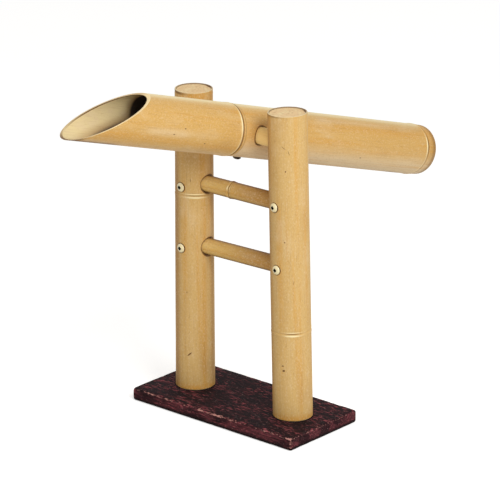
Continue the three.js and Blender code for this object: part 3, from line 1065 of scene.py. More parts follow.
def painted(tree, shade, tints):
    """Lays tints over a colour as the mesh's marks say: each is a mark's name, a tint and its most."""
    for mark, tint, most_share in tints:
        here = add(tree, "ShaderNodeAttribute", attribute_name=mark).outputs["Fac"]
        shade = stained(tree, shade, tint, here, 0.0, 1.0, most_share)
    return shade


def marks_at(tree, place, marks):
    """1 in the middle of every mark and 0 outside them all.

    A mark is an ellipsoid in the place's own axes: its middle, its turn, its half sizes and the share
    of them in which it fades.
    """
    covers = []
    for middle, turned, half_sizes, soft_share in marks:
        where = {"Vector": place, "Location": middle, "Rotation": turned, "Scale": half_sizes}
        inside = add(tree, "ShaderNodeMapping", where, vector_type="TEXTURE").outputs["Vector"]
        away = add(tree, "ShaderNodeVectorMath", {0: inside}, operation="LENGTH").outputs["Value"]
        limits = {"Value": away, "From Min": 1 - soft_share, "From Max": 1.0, "To Min": 1.0, "To Max": 0.0}
        covers.append(add(tree, "ShaderNodeMapRange", limits).outputs["Result"])
    most = covers[0]
    for cover in covers[1:]:
        most = add(tree, "ShaderNodeMath", {0: most, 1: cover}, operation="MAXIMUM").outputs["Value"]
    return most


# The mottle is finer than this on real bamboo: it is drawn as coarse as a picture shows.
SKIN_PATTERNS = (
    Pattern("broad golden streaks", 5.5 * MM, 150 * MM, "gold", 0.46, 0.72, 0.42),
    Pattern("pale blotches", 14 * MM, 34 * MM, "pale", 0.5, 0.78, 0.3),
    Pattern("weathered blotches", 24 * MM, 60 * MM, "brown", 0.56, 0.8, 0.22),
    Pattern("fibres", *SKIN_FIBRES, "brown", 0.5, 0.8, 0.34),
    Pattern("pale mottle", 1.3 * MM, 2.0 * MM, "pale", 0.48, 0.72, 0.38),
    Pattern("brown mottle", 1.5 * MM, 2.2 * MM, "brown", 0.52, 0.76, 0.26),
)
PITS = Specks(9 * MM, first_lot=0.6, full_lot=0.75, outer_share=0.085, inner_share=0.03, most_share=0.6)


def bamboo_skin(name, culm, skin, dents_and_shadows=()):
    """Satin skin of dried, boiled bamboo: hard and smooth, so it has a soft sheen with sharp faint streaks.

    Fine fibres run along it, with broad golden and brown streaks, pale blotches, a fine mottle and pits.
    """
    bamboo = settings().bamboo
    material, tree = new_material(name)
    place = laid_along(tree, culm.place)
    # Patches of weather and streaks, among them painted shade, shadow, highlight and reflection
    weathered = [("gold", bamboo.gold, 0.8), ("weather", bamboo.brown, 0.7), ("pale", bamboo.pale, 0.9)]
    shade = painted(tree, skin, weathered)
    shade = patterned(tree, place, shade, SKIN_PATTERNS, bamboo)
    shade = specked(tree, place, shade, bamboo.brown, PITS)
    dark = bamboo.dark_brown
    # Crests with painted highlight, grooves with dirt and painted shade, and edges with painted shade
    shade = painted(tree, shade, [("crest", bamboo.crest, 0.95), ("groove", dark, 0.8), ("edge", dark, 0.95)])
    height = streaks(tree, place, SKIN_FIBRES)
    # Pits and scratches, and the painted shadows round holes and screw heads: darker, and sunk in the relief
    if dents_and_shadows:
        dent_and_shadow_cover = marks_at(tree, place, dents_and_shadows)
        shade = stained(tree, shade, dark, dent_and_shadow_cover, 0.0, 0.8, 0.95)
        height = add(tree, "ShaderNodeMath", {0: height, 1: dent_and_shadow_cover}, operation="SUBTRACT").outputs["Value"]
    sheen = {"Value": streaks(tree, place, SKIN_GLOSS, GLOSS_SHIFT), "From Min": 0.3, "From Max": 0.7}
    gloss = add(tree, "ShaderNodeMapRange", {**sheen, "To Min": 0.38, "To Max": 0.54}).outputs["Result"]
    return finished(material, shade, height, 0.4, {"Roughness": gloss, "Specular IOR Level": 0.12})


CUT_PATTERNS = (Pattern("uneven sawing", 5 * MM, 5 * MM, "pale", 0.45, 0.75, 0.5),)
BUNDLE_SPACING = 0.9 * MM


def cut_bamboo(name, culm, cut):
    """Sawn and rubbed wall of a culm: pale pith with the ends of the darker fibre bundles in it."""
    bamboo = settings().bamboo
    material, tree = new_material(name)
    place = laid_along(tree, culm.place)
    net = add(tree, "ShaderNodeTexVoronoi", {"Vector": place, "Scale": 1 / BUNDLE_SPACING})
    bundles = net.outputs["Distance"]
    shade = stained(tree, cut, bamboo.bundle, bundles, 0.32, 0.12, 0.4)
    shade = patterned(tree, place, shade, CUT_PATTERNS, bamboo)
    # Painted shade where the rows' edge says: the mouth's far side and tip, and the posts' rims
    shade = painted(tree, shade, [("edge", bamboo.dark_brown, 0.85)])
    return finished(material, shade, bundles, 0.3, {"Roughness": 0.6, "Specular IOR Level": 0.3})


# How softly the corner of the painted shadow is rounded, and half the width of its edge
SHADOW_ROUNDING = 8 * MM
SHADOW_EDGE = 2.2 * MM


def painted_tube_shadow(tree):
    """A painted shadow inside the spout: grows past zero deep in the tube and under a level line.

    It is the greater of the distance behind the shadow's front and the depth under the line at rest,
    with the corner between them rounded, and never more than the distance ahead of the pivot.
    """
    rocker = settings().rocker
    seen = add(tree, "ShaderNodeTexCoord").outputs["Object"]
    at = add(tree, "ShaderNodeSeparateXYZ", {"Vector": seen})
    behind = add(tree, "ShaderNodeMath", {0: at.outputs["Y"], 1: rocker.shadow_front}, operation="ADD")
    under = add(tree, "ShaderNodeMath", {0: rocker.shadow_level, 1: at.outputs["Z"]}, operation="SUBTRACT")
    both = {0: behind.outputs["Value"], 1: under.outputs["Value"], 2: SHADOW_ROUNDING}
    stain = add(tree, "ShaderNodeMath", both, operation="SMOOTH_MAX").outputs["Value"]
    ahead = add(tree, "ShaderNodeMath", {0: at.outputs["Y"], 1: -1.0}, operation="MULTIPLY")
    in_spout = {0: stain, 1: ahead.outputs["Value"]}
    return add(tree, "ShaderNodeMath", in_spout, operation="MINIMUM").outputs["Value"]


INSIDE_PATTERNS = (
    Pattern("pale blotches", 9 * MM, 18 * MM, "pale", 0.45, 0.7, 0.5),
    Pattern("fibres", *INSIDE_FIBRES, "brown", 0.5, 0.8, 0.3),
    Pattern("mottle", 1.6 * MM, 2.4 * MM, "brown", 0.54, 0.8, 0.2),
)


def culm_inside(name, culm, painted_inner_shadow):
    """Inner wall of a culm: matt, thin skin over pith, streaked along, with painted shadow deep in the spout.
    """
    bamboo = settings().bamboo
    material, tree = new_material(name)
    place = laid_along(tree, culm.place)
    shade = patterned(tree, place, bamboo.inside, INSIDE_PATTERNS, bamboo)
    if painted_inner_shadow:
        # Painted shadow deep in the spout: brown at its soft edge, and the deep colour beyond
        stain = painted_tube_shadow(tree)
        shade = stained(tree, shade, bamboo.brown, stain, -4 * SHADOW_EDGE, 0.0, 0.5)
        shade = stained(tree, shade, bamboo.inside_deep, stain, -SHADOW_EDGE, SHADOW_EDGE)
    # Painted shade where the rows' edge says: just inside the mouth and in the posts' recesses
    shade = painted(tree, shade, [("edge", bamboo.dark_brown, 0.95)])
    fibres = streaks(tree, place, INSIDE_FIBRES)
    return finished(material, shade, fibres, 0.4, {"Roughness": 0.7, "Specular IOR Level": 0.2})


SEPTUM_PATTERNS = (
    Pattern("blotches", 7 * MM, 7 * MM, "crest", 0.45, 0.7, 0.45),
    Pattern("paper", 2.6 * MM, 2.6 * MM, "brown", 0.48, 0.76, 0.4),
)


def culm_septum(name, culm):
    """Diaphragm of a culm: papery and matt, faintly mottled, with painted shade where it meets the wall."""
    bamboo = settings().bamboo
    material, tree = new_material(name)
    place = laid_along(tree, culm.place)
    shade = patterned(tree, place, bamboo.septum, SEPTUM_PATTERNS, bamboo)
    shade = painted(tree, shade, [("edge", bamboo.dark_brown, 0.95)])
    paper = streaks(tree, place, PAPER)
    return finished(material, shade, paper, 0.4, {"Roughness": 0.75, "Specular IOR Level": 0.2})


def culm_finishes(label, culm, skin, cut, dents_and_shadows=(), painted_inner_shadow=False):
    """The four finishes of a culm, in the order skin, cut wall, inside, diaphragm."""
    return [
        bamboo_skin(f"Satin bamboo skin, {label}", culm, skin, dents_and_shadows),
        cut_bamboo(f"Sawn bamboo, {label}", culm, cut),
        culm_inside(f"Bamboo inside, {label}", culm, painted_inner_shadow),
        culm_septum(f"Bamboo diaphragm, {label}", culm),
    ]


WOOD_PATTERNS = (
    Pattern("grain", *WOOD_GRAIN, "brown", 0.48, 0.8, 0.4),
    Pattern("bands", 3.5 * MM, 90 * MM, "pale", 0.5, 0.75, 0.5),
)


def bare_wood(name, place, shade):
    """Planed softwood, unfinished: matt, with straight grain and pale bands along the piece."""
    material, tree = new_material(name)
    along = laid_along(tree, place)
    tone = patterned(tree, along, shade, WOOD_PATTERNS, settings().bamboo)
    grain = streaks(tree, along, WOOD_GRAIN)
    return finished(material, tone, grain, 0.5, {"Roughness": 0.65, "Specular IOR Level": 0.3})


BOARD_PATTERNS = (
    Pattern("broad grain", 4.5 * MM, 60 * MM, "red_stain", 0.5, 0.78, 0.4),
    Pattern("flecks", 1.4 * MM, 6 * MM, "red_stain", 0.53, 0.66, 1.0),
    Pattern("thick stain", 16 * MM, 34 * MM, "dark_stain", 0.42, 0.58, 0.8),
    Pattern("fine grain", 1.3 * MM, 16 * MM, "edge_stain", 0.48, 0.66, 0.8),
    Pattern("pale specks", 1.3 * MM, 2.6 * MM, "dust", 0.62, 0.76, 0.5),
)
DUST = Specks(7 * MM, first_lot=0.6, full_lot=0.9, outer_share=0.1, inner_share=0.04, most_share=0.7)
# How much a noise breaks up the worn edges, and the sums of wear and noise between which wood shows
WEAR_BREAK = 3.0
WEAR_START, WEAR_FULL = 2.15, 2.8
# How far from a post's foot the painted shadow reaches, and how deep a mark reaches under a surface
FOOT_SHADE = 1.8 * MM
MARK_DEPTH = 2 * MM


def stained_board(name):
    """Sawn softwood under a thick dark stain: nearly matt, redder on the sides, worn bare at the edges.

    It is darker towards the bottom and along the back and left top edges, painted shadow lies round the
    posts' feet, and dust has settled on the top.
    """
    board, posts = settings().board, settings().posts
    material, tree = new_material(name)
    along = laid_along(tree, Place(vector(0, 0, 0), vector(1, 0, 0), vector(0, 1, 0)))
    shade = painted(tree, board.dark_stain, [("side", board.side_stain, 1.0)])
    shade = patterned(tree, along, shade, BOARD_PATTERNS, board)
    shade = specked(tree, along, shade, board.dust, DUST)
    # Darker towards the bottom and along the back and left top edges, as the edge mark says
    shade = painted(tree, shade, [("edge", board.edge_stain, 0.9)])
    wear = add(tree, "ShaderNodeAttribute", attribute_name="wear").outputs["Fac"]
    broken = {0: streaks(tree, along, WEAR_BREAKS, WEAR_SHIFT), 1: WEAR_BREAK, 2: wear}
    chipped = add(tree, "ShaderNodeMath", broken, operation="MULTIPLY_ADD").outputs["Value"]
    shade = stained(tree, shade, board.bare_wood, chipped, WEAR_START, WEAR_FULL, 0.9)
    # Painted shadow of each post on the board round its foot
    foot = posts.left_foot_radius + FOOT_SHADE
    foot_shadows = [
        ((0.0, board.thickness, at), (0.0, 0.0, 0.0), (foot, MARK_DEPTH, foot), FOOT_SHADE / foot)
        for at in (-posts.offset, posts.offset)
    ]
    shade = stained(tree, shade, board.edge_stain, marks_at(tree, along, foot_shadows), 0.0, 1.0, 0.9)
    fine = streaks(tree, along, BOARD_GRAIN, GRAIN_SHIFT)
    look = {"Roughness": 0.8, "Specular IOR Level": 0.12}
    return finished(material, shade, fine, 0.7, look, depth=2 * BUMP_DEPTH)


def lacquered_head(name):
    """Steel screw under ivory lacquer: smooth and glossy, a little yellowed, with dirt in small patches."""
    material, tree = new_material(name)
    seen = add(tree, "ShaderNodeTexCoord").outputs["Object"]
    dirt = streaks(tree, seen, LACQUER_DIRT)
    shade = stained(tree, settings().metal.ivory, settings().bamboo.pale, dirt, 0.5, 0.8, 0.6)
    return finished(material, shade, dirt, 0.15, {"Roughness": 0.3, "Coat Weight": 0.4})


def worn_steel(name, tone, roughness):
    """Plated or dark steel: metal with fine scuffs, so its gloss varies."""
    material, tree = new_material(name)
    seen = add(tree, "ShaderNodeTexCoord").outputs["Object"]
    scuffs = streaks(tree, seen, SCUFFS)
    shade = stained(tree, tone, settings().metal.recess, scuffs, 0.5, 0.85, 0.5)
    limits = {"From Min": 0.3, "From Max": 0.7, "To Min": roughness - 0.08, "To Max": roughness + 0.12}
    gloss = add(tree, "ShaderNodeMapRange", {"Value": scuffs, **limits}).outputs["Result"]
    return finished(material, shade, scuffs, 0.15, {"Metallic": 1.0, "Roughness": gloss})


def painted_recess_shade(name):
    """Painted shade in a screw's recess, with crumbs of bare dark metal: matt, nearly black."""
    metal = settings().metal
    material, tree = new_material(name)
    seen = add(tree, "ShaderNodeTexCoord").outputs["Object"]
    crumbs = streaks(tree, seen, RECESS_CRUMBS)
    shade = stained(tree, metal.recess, metal.dark_steel, crumbs, 0.5, 0.8, 0.2)
    look = {"Base Color": shade, "Roughness": 0.8, "Specular IOR Level": 0.1}
    shader = add(tree, "ShaderNodeBsdfPrincipled", look)
    add(tree, "ShaderNodeOutputMaterial", {"Surface": shader.outputs["BSDF"]})
    return material


# Pieces

# How far a cutter reaches past a piece's ends, and past a screw's seat
BORE_OVERRUN = MM
HEAD_OVERRUN = 4 * MM
SCREW_BORE_COLUMNS = 24


def through_bore(name, place, ends, radius, material):
    """The round hole of a bar that lies between two ends, as a shape to cut away."""
    profile = [(ends[0] - BORE_OVERRUN, radius), (ends[1] + BORE_OVERRUN, radius)]
    return turned_bar(name, place, profile, material)


def rung_bore(rung, material):
    rungs = settings().rungs
    culm = rung_culm(rung)
    return through_bore(f"{rung}_bore", culm.place, culm.stations, rungs.radius + rungs.hole_gap, material)


def axle_ends():
    low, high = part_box("axle")
    return low.x, high.x


def axle_place():
    """The axle runs to the right through the pivot; angles round it run with the tube's."""
    tilt = settings().rocker.tilt
    origin = vector(0, 0, settings().rocker.pivot_height)
    return Place(origin, vector(1, 0, 0), vector(0, math.sin(tilt), math.cos(tilt)))


def axle_bore(material):
    rocker = settings().rocker
    radius = rocker.axle_radius + rocker.hole_gap
    return through_bore("axle_bore", axle_place(), axle_ends(), radius, material)


@dataclass
class RungScrew:
    """A screw that pins a rung: how far above the rung's axis, as a share of its radius, and its turn."""

    side: str
    rung: str
    lift_share: float
    left_degrees: float

    @property
    def name(self):
        return f"{self.side}_{self.rung}_rung_screw"


RUNG_SCREWS = [
    RungScrew("left", "upper", -0.34, 2.5),
    RungScrew("left", "lower", -0.12, 2.5),
    RungScrew("right", "upper", 0.15, 7.5),
    RungScrew("right", "lower", 0.27, 3),
]


def rung_height_at(screw):
    """Height of a rung's axis above the board, where it meets the axis of the screw's post."""
    rung = rung_place(screw.rung)
    rise = rung.along[2] / rung.along[0]
    level = rung.origin[2] - settings().board.thickness
    return level + axis_at(screw.side, level) * rise


def rung_screw_height(screw):
    """Height of a rung's screw above the board, at its post's axis."""
    return rung_height_at(screw) + screw.lift_share * settings().rungs.radius


def rung_screw_place(screw):
    """Square into the post's skin at the screw's height; angles run from straight up."""
    height = rung_screw_height(screw)
    skin = float(post_culm(screw.side).taper(height)) + settings().screws.seat_gap
    left = math.radians(screw.left_degrees)
    inwards = vector(math.sin(left), math.cos(left), 0)
    on_axis = vector(axis_at(screw.side, height), 0, height + settings().board.thickness)
    return Place(on_axis - skin * inwards, inwards, vector(0, 0, 1))


def screw_bore(name, place, shank, material):
    """The hole of a truss-head screw, with a gap round its thread and past its point."""
    radius, length_in = shank
    gap = settings().screws.hole_gap
    profile = [(-HEAD_OVERRUN, radius + gap), (length_in + gap, radius + gap)]
    return turned_bar(f"{name}_bore", place, profile, material, SCREW_BORE_COLUMNS)


def rung_screw_shank():
    screws = settings().screws
    return screws.rung_radius, screws.rung_length


def rung_screw_bores(which, material):
    """The holes of the screws on one side or in one rung."""
    return [
        screw_bore(screw.name, rung_screw_place(screw), rung_screw_shank(), material)
        for screw in RUNG_SCREWS
        if which in (screw.side, screw.rung)
    ]


# Pits, scratches and smears: millimetres above the table, degrees from the spout's side towards the
# right, length and width in millimetres, and the slant from upright in degrees
POST_DENTS = {
    "left": [(53, 25, 7.5, 1.6, 48), (120, 18, 3.0, 0.7, 10), (240, 30, 4.0, 0.6, -8)],
    "right": [
        (72, 13, 3.4, 1.5, 80),
        (67, 16, 3.6, 2.5, 75),
        (275, 32, 1.9, 1.6, 0),
        (202, 26, 1.8, 1.5, 0),
        (299, 27, 6.0, 0.5, -50),
        (294, 42, 6.0, 0.5, -20),
        (160, 50, 5.0, 0.5, 6),
    ],
}
# Small pits: millimetres along the tube from the pivot, and degrees from its top towards the right
TUBE_DENTS = [(-131, 107), (-117, 92), (-80, 122), (170, 118)]
TUBE_DENT_SIZE = (2.6 * MM, 1.4 * MM)
DENT_SOFT_SHARE = 0.5
# How far the painted shadow reaches round a screw's head, and round a hole
SCREW_SHADE = 1.1 * MM
HOLE_SHADE = 2.0 * MM


def skin_mark(culm, station, degrees, long, wide, slant=0.0, soft_share=DENT_SOFT_SHARE):
    """A mark on a culm's skin in the culm's own axes: an ellipsoid's middle, turn and half sizes.

    It runs up the culm, turned by its slant towards growing angles.
    """
    angle = math.radians(degrees)
    outward = vector(math.cos(angle), math.sin(angle), 0)
    onward = vector(-math.sin(angle), math.cos(angle), 0)
    run = math.cos(slant) * vector(0, 0, 1) + math.sin(slant) * onward
    middle = float(culm.skin(station, angle)) * outward + vector(0, 0, station)
    turned = Matrix(np.column_stack([run, np.cross(outward, run), outward]).tolist()).to_euler()
    return middle.tolist(), turned, (long / 2, wide / 2, MARK_DEPTH + wide / 4), soft_share


def painted_hole_shadow(culm, station, degrees, radius, shade):
    """Painted shadow on the skin round a hole, out to a shade's width from its edge."""
    across = 2 * (radius + shade)
    return skin_mark(culm, station, degrees, across, across, 0.0, shade / (radius + shade))


def post_marks(side, culm):
    """The marks in a post's skin, and the painted shadow round its rungs and the heads of its screws."""
    board = settings().board.thickness
    rungs, screws = settings().rungs, settings().screws
    marks = [
        skin_mark(culm, height * MM - board, degrees, long * MM, wide * MM, math.radians(slant))
        for height, degrees, long, wide, slant in POST_DENTS[side]
    ]
    inward = -90 * SIDES[side]
    for screw in RUNG_SCREWS:
        if screw.side == side:
            height = rung_screw_height(screw)
            marks.append(painted_hole_shadow(culm, height, -screw.left_degrees, screws.rung_head_radius, SCREW_SHADE))
            level = rung_height_at(screw)
            marks.append(painted_hole_shadow(culm, level, inward, rungs.radius + rungs.hole_gap, HOLE_SHADE))
    return marks


def tube_marks(culm):
    """The small pits in the tube's skin, and the painted shadow round the holes of its axle."""
    rocker = settings().rocker
    hole = rocker.axle_radius + rocker.hole_gap
    marks = [painted_hole_shadow(culm, 0.0, degrees, hole, HOLE_SHADE) for degrees in (90, -90)]
    marks += [skin_mark(culm, at * MM, degrees, *TUBE_DENT_SIZE) for at, degrees in TUBE_DENTS]
    return marks


POST_WALL_ROWS = 16
# Painted shade: how dark the foot's edge and the skin under the rim are, and the least for the rim, its
# recess and the top diaphragm's edge
FOOT_SHADE_SHARE = 0.3
UNDER_RIM_SHARE = 0.7
RIM_SHARE = 0.25
RECESS_SHARE = 0.75
DIAPHRAGM_SHARE = 0.15
# The middle of the rim's front and of its darkest part, and the half width of both
RIM_FRONT = math.radians(10)
RIM_BACK = math.radians(205)
RIM_BACK_WIDTH = math.radians(75)
# The wall in a post's recess as a share of the wall below
RIM_WALL_SHARE = 0.45
# Painted shadows in the top recess, where the rim's inner wall shades the diaphragm: the middle and the
# half width in degrees
TOP_SHADOWS = {"left": (160, 16), "right": (144, 14)}
# The rows of the top diaphragm as shares of its radius, and the radians of its ripple across it
TOP_DISC_SHARES = (0.9, 0.7, 0.45, 0.2, 0.0)
RIPPLE = 9


def level_foot(side, radius, angles):
    """Stations of a post's level foot: minus the radius x the angle's sine x the lean's tangent."""
    return -radius * np.sin(angles) * math.tan(one_of(settings().posts, side, "lean"))


def rim_shade(angles):
    """How dark the painted shade on the rim is: a little all round, and wholly in a bell at the back."""
    return RIM_SHARE + (1 - RIM_SHARE) * bell_round(angles, RIM_BACK, RIM_BACK_WIDTH)


def post_inside_rows(side, culm, angles):
    """From the middle of the lower diaphragm out to the wall, and down it to the foot."""
    inner = culm.taper(0) - culm.wall
    foot = level_foot(side, inner, angles)
    fillet = FILLET_SHARE * culm.wall
    rows = septum_rows(culm.nodes[0] - culm.septum / 2, culm.taper(culm.nodes[0]) - culm.wall, fillet, 1)
    wall_top = rows[-1].station
    for up_share in np.linspace(1, 0, POST_WALL_ROWS)[1:]:
        station = foot + (wall_top - foot) * up_share
        rows.append(Row(station, culm.taper(station) - culm.wall, INSIDE))
    return [*rows, Row(foot, inner, CUT)]


def post_skin_rows(side, culm, angles):
    """From the chamfer round the foot up the skin and over the rounded rim."""
    posts = settings().posts
    foot = level_foot(side, culm.skin(0, angles), angles)
    radius = culm.skin(foot, angles)
    rows = [
        Row(foot, radius - posts.foot_ease, CUT),
        # Painted shade on the skin along the foot's edge
        Row(foot + posts.foot_ease, radius, SKIN, FOOT_SHADE_SHARE),
        Row(foot + 2 * posts.foot_ease, radius, SKIN),
    ]
    start = 2 * FILLET_SHARE * culm.wall
    rim_start = culm.stations[-1] - posts.rim_ease
    rows += skin_rows(culm, steps_along(start, rim_start, culm.nodes, culm.ring_reach), angles)
    edge = culm.skin(rim_start, angles)
    # Painted shade on the skin under the rim, at the front
    rows.append(Row(rim_start, edge, SKIN, UNDER_RIM_SHARE * bell_round(angles, RIM_FRONT, RIM_BACK_WIDTH)))
    # Painted shade on the rim, darkest at the back
    for below, inward in rounded(posts.rim_ease, 5)[1:]:
        rows.append(Row(culm.stations[-1] - below, edge - inward, CUT, rim_shade(angles)))
    return rows


def post_top_rows(side, culm, angles):
    """From the rim down the shallow recess, and in over the rippled diaphragm to its middle."""
    height = culm.stations[-1]
    recess = culm.nodes[-1] + culm.septum / 2
    bore = culm.taper(height) - RIM_WALL_SHARE * culm.wall
    small = RIM_WALL_SHARE * settings().posts.rim_ease
    disc = bore - 3 * small
    # Painted shade in the recess and on the diaphragm's edge, darkest in the painted shadows at the back
    gap = bell_round(angles, *(math.radians(degrees) for degrees in TOP_SHADOWS[side]))
    painted_shade = RECESS_SHARE + (1 - RECESS_SHARE) * gap
    rows = [
        Row(height, bore + small, CUT, rim_shade(angles)),
        Row(height - small / 2, bore + small / 2, CUT, painted_shade),
        Row(height - small, bore, INSIDE, painted_shade),
        Row(recess + small, bore - small, INSIDE, painted_shade),
        Row(recess, disc, SEPTUM, DIAPHRAGM_SHARE + (1 - DIAPHRAGM_SHARE) * gap),
    ]
    for out_share in TOP_DISC_SHARES:
        ripple = small * math.sin(RIPPLE * out_share) / 4
        rows.append(Row(recess + ripple, disc * out_share, SEPTUM))
    return rows


def build_post(side):
    """A post's surface runs from the lower diaphragm down the inside, up the skin and into the recess."""
    culm = post_culm(side)
    angles = angles_round(CULM_COLUMNS)
    bamboo = settings().bamboo
    finishes = culm_finishes(f"{side} post", culm, bamboo.post_skin, bamboo.post_cut, post_marks(side, culm))
    rows = post_inside_rows(side, culm, angles)
    rows += post_skin_rows(side, culm, angles) + post_top_rows(side, culm, angles)
    post = culm_piece(f"{side}_post_bamboo", culm, rows, finishes, CULM_COLUMNS)
    cut = finishes[CUT]
    hollow = hollow_between(f"{side}_hollow", culm, *culm.nodes, finishes[INSIDE])
    bores = [rung_bore("upper", cut), rung_bore("lower", cut), axle_bore(cut)]
    cut_away(post, [hollow, *bores, *rung_screw_bores(side, cut)])
    settle(post, "stand", "bamboo_post", f"{side}_post")


def build_rung(rung):
    """A rung's surface: out along the skin and back through its open ends.

    A rung with a node is closed there by a diaphragm; one without is open right through.
    """
    culm = rung_culm(rung)
    bamboo = settings().bamboo
    columns = CULM_COLUMNS // 2
    angles = angles_round(columns)
    start, end = culm.stations
    ease = settings().rungs.rim_ease
    inner = culm.radii[0] - culm.wall
    finishes = culm_finishes(f"{rung} rung", culm, bamboo.rung_skin, bamboo.cut)
    steps = steps_along(start + ease, end - ease, culm.nodes, culm.ring_reach)
    outside = [Row(start, culm.radii[0] - ease, CUT)] + skin_rows(culm, steps, angles)
    outside.append(Row(end, culm.radii[0] - ease, CUT))
    if culm.nodes:
        first = septum_rows(culm.nodes[0] - culm.septum / 2, inner, culm.wall, 1)
        last = septum_rows(culm.nodes[0] + culm.septum / 2, inner, culm.wall, -1)[::-1]
        rows = [*first, Row(start, inner, INSIDE), *outside, Row(end, inner, INSIDE), *last]
    else:
        rows = [*outside, Row(end, inner, INSIDE), Row(start, inner, CUT)]
    make = closed_piece if culm.nodes else looped_piece
    bar = culm_piece(f"{rung}_rung_bamboo", culm, rows, finishes, columns, make)
    cut_away(bar, rung_screw_bores(rung, finishes[CUT]))
    settle(bar, "stand", "bamboo_rung", f"{rung}_rung")


TUBE_COLUMNS = 160
TUBE_INSIDE_ROWS = 60
MOUTH_ROWS = 9
MOUTH_SKIN_ROWS = 70
TAIL_ROWS = 7
# How unevenly the skin's rows by the mouth are spread, and how many ring reaches behind its top they end
MOUTH_SKIN_SPREAD = 1.3
MOUTH_JOIN_REACHES = 6
# How much thinner the wall is at the tip
TIP_THINNING_SHARE = 0.5
# How sharply the painted shade at the tip fades round the mouth, and how many lips wide it is on the skin
TIP_SHADE = 3.5
TIP_SHADE_LIPS = 14
# Painted shade inside the mouth: lips in from its edge, how dark the top is there, and how dark the tip
MOUTH_SHADES = ((9, 0.0, 0.0), (6, 0.7, 0.0), (3, 1.0, 0.4), (0, 1.0, 1.0))
# Painted shade on the skin behind the tip: from and to shares of its width, and how dark the tip is
TIP_SKIN_SHADES = ((0.0, 1.0), (0.7, 1.0), (1.0, 0.0))
# How dark the painted shade on the cut wall is on the side away from the viewer, and how far round that goes
FAR_SIDE_SHARE = 0.45
FAR_SIDE_REACH = 0.3


def tip_share(angles):
    """1 at the tip, 0 at the mouth's top: the square of half of 1 less the angle's cosine."""
    return (0.5 - 0.5 * np.cos(angles)) ** 2


def tip_shade(angles):
    return np.clip(TIP_SHADE * (-np.cos(angles) - 1) + 1, 0, 1)


def mouth_wall(culm, angles):
    return culm.wall * (1 - TIP_THINNING_SHARE * tip_share(angles))


def mouth_station(radius, angles):
    """The mouth is a plane: a point's station grows with its height above the tube's lowest line."""
    rocker = settings().rocker
    slope = (rocker.tip_reach - rocker.mouth_top_reach) / (2 * rocker.spout_radius)
    return (radius * np.cos(angles) + rocker.spout_radius) * slope - rocker.tip_reach


def tube_inside_rows(culm, angles):
    """From the middle of the diaphragm out to the wall, and along it to the mouth's inner edge."""
    rocker = settings().rocker
    inner = culm.radii[1] - culm.wall
    rows = septum_rows(culm.nodes[0] - culm.septum / 2, inner, FILLET_SHARE * culm.wall, 1)
    deep = rows[-1].station
    mouth_inner = rocker.spout_radius - mouth_wall(culm, angles)
    edge = mouth_station(mouth_inner, angles) + rocker.lip_ease
    for out_share in np.linspace(0, 1, TUBE_INSIDE_ROWS)[1:-1]:
        station = deep + (edge - deep) * out_share
        rows.append(Row(station, inner + (mouth_inner - inner) * out_share, INSIDE))
    # Painted shade just inside the rim, full over the upper half and fading to the bottom, and at the tip
    near_top = np.clip(1 + np.cos(angles), 0, 1)
    for lips_in, top_shade, at_tip in MOUTH_SHADES:
        shade = np.maximum(top_shade * near_top, at_tip * tip_shade(angles))
        rows.append(Row(edge + lips_in * rocker.lip_ease, mouth_inner, INSIDE, shade))
    return rows


def mouth_rows(culm, angles):
    """Across the cut wall of the mouth from its inner edge to its outer one, with both edges rubbed.

    The rubbing falls back by 1 less the square root of 1 less the sixth power of the way from the
    middle of the wall.
    """
    rocker = settings().rocker
    wall = mouth_wall(culm, angles)
    # Painted shade on the cut wall: on the far side, at the tip, and over the tip's outer half
    far_side = np.clip(FAR_SIDE_REACH - np.sin(angles), 0, FAR_SIDE_SHARE)
    rows = []
    for across_share in np.linspace(0, 1, MOUTH_ROWS)[1:-1]:
        radius = rocker.spout_radius - wall + wall * across_share
        drop = rocker.lip_ease * (1 - (1 - abs(2 * across_share - 1) ** 6) ** 0.5)
        outer_half = tip_share(angles) ** 2 * np.clip(2.5 * across_share - 0.5, 0, 1)
        painted_shade = np.maximum(far_side, np.maximum(tip_shade(angles), outer_half))
        rows.append(Row(mouth_station(radius, angles) + drop, radius, CUT, painted_shade))
    return rows


def tube_skin_rows(culm, angles):
    """From the mouth's outer edge along the skin and over the rounded rim of the tail."""
    rocker = settings().rocker
    lip, ease = rocker.lip_ease, rocker.tail_rim_ease
    edge = mouth_station(rocker.spout_radius, angles) + lip
    behind_lip = edge + TIP_SHADE_LIPS * lip
    rows = []
    for in_share, at_tip in TIP_SKIN_SHADES:
        station = edge + (behind_lip - edge) * in_share
        rows.append(Row(station, culm.skin(station, angles), SKIN, at_tip * tip_shade(angles)))
    join = MOUTH_JOIN_REACHES * rocker.ring_reach - rocker.mouth_top_reach
    shares = np.linspace(0, 1, MOUTH_SKIN_ROWS)[1:] ** MOUTH_SKIN_SPREAD
    rows += skin_rows(culm, [behind_lip + (join - behind_lip) * along for along in shares], angles)
    end = rocker.tail_reach - INSIDE_BOX
    steps = steps_along(join, end - ease, culm.nodes, culm.ring_reach + rocker.ring_saddle)
    rows += skin_rows(culm, steps[1:], angles)
    rim = culm.skin(end - ease, angles)
    return rows + [Row(end - before, rim - inward, SKIN) for before, inward in rounded(ease, TAIL_ROWS)[1:]]


def tail_rows(culm):
    """From the tail's rim in through its open stub to the middle of the tail's diaphragm."""
    lip = settings().rocker.lip_ease
    end = settings().rocker.tail_reach - INSIDE_BOX
    inner = culm.radii[-1] - culm.wall
    last = septum_rows(culm.nodes[1] + culm.septum / 2, inner, FILLET_SHARE * culm.wall, -1)
    return [Row(end, inner + lip, CUT), Row(end - lip, inner, INSIDE), *last[::-1]]


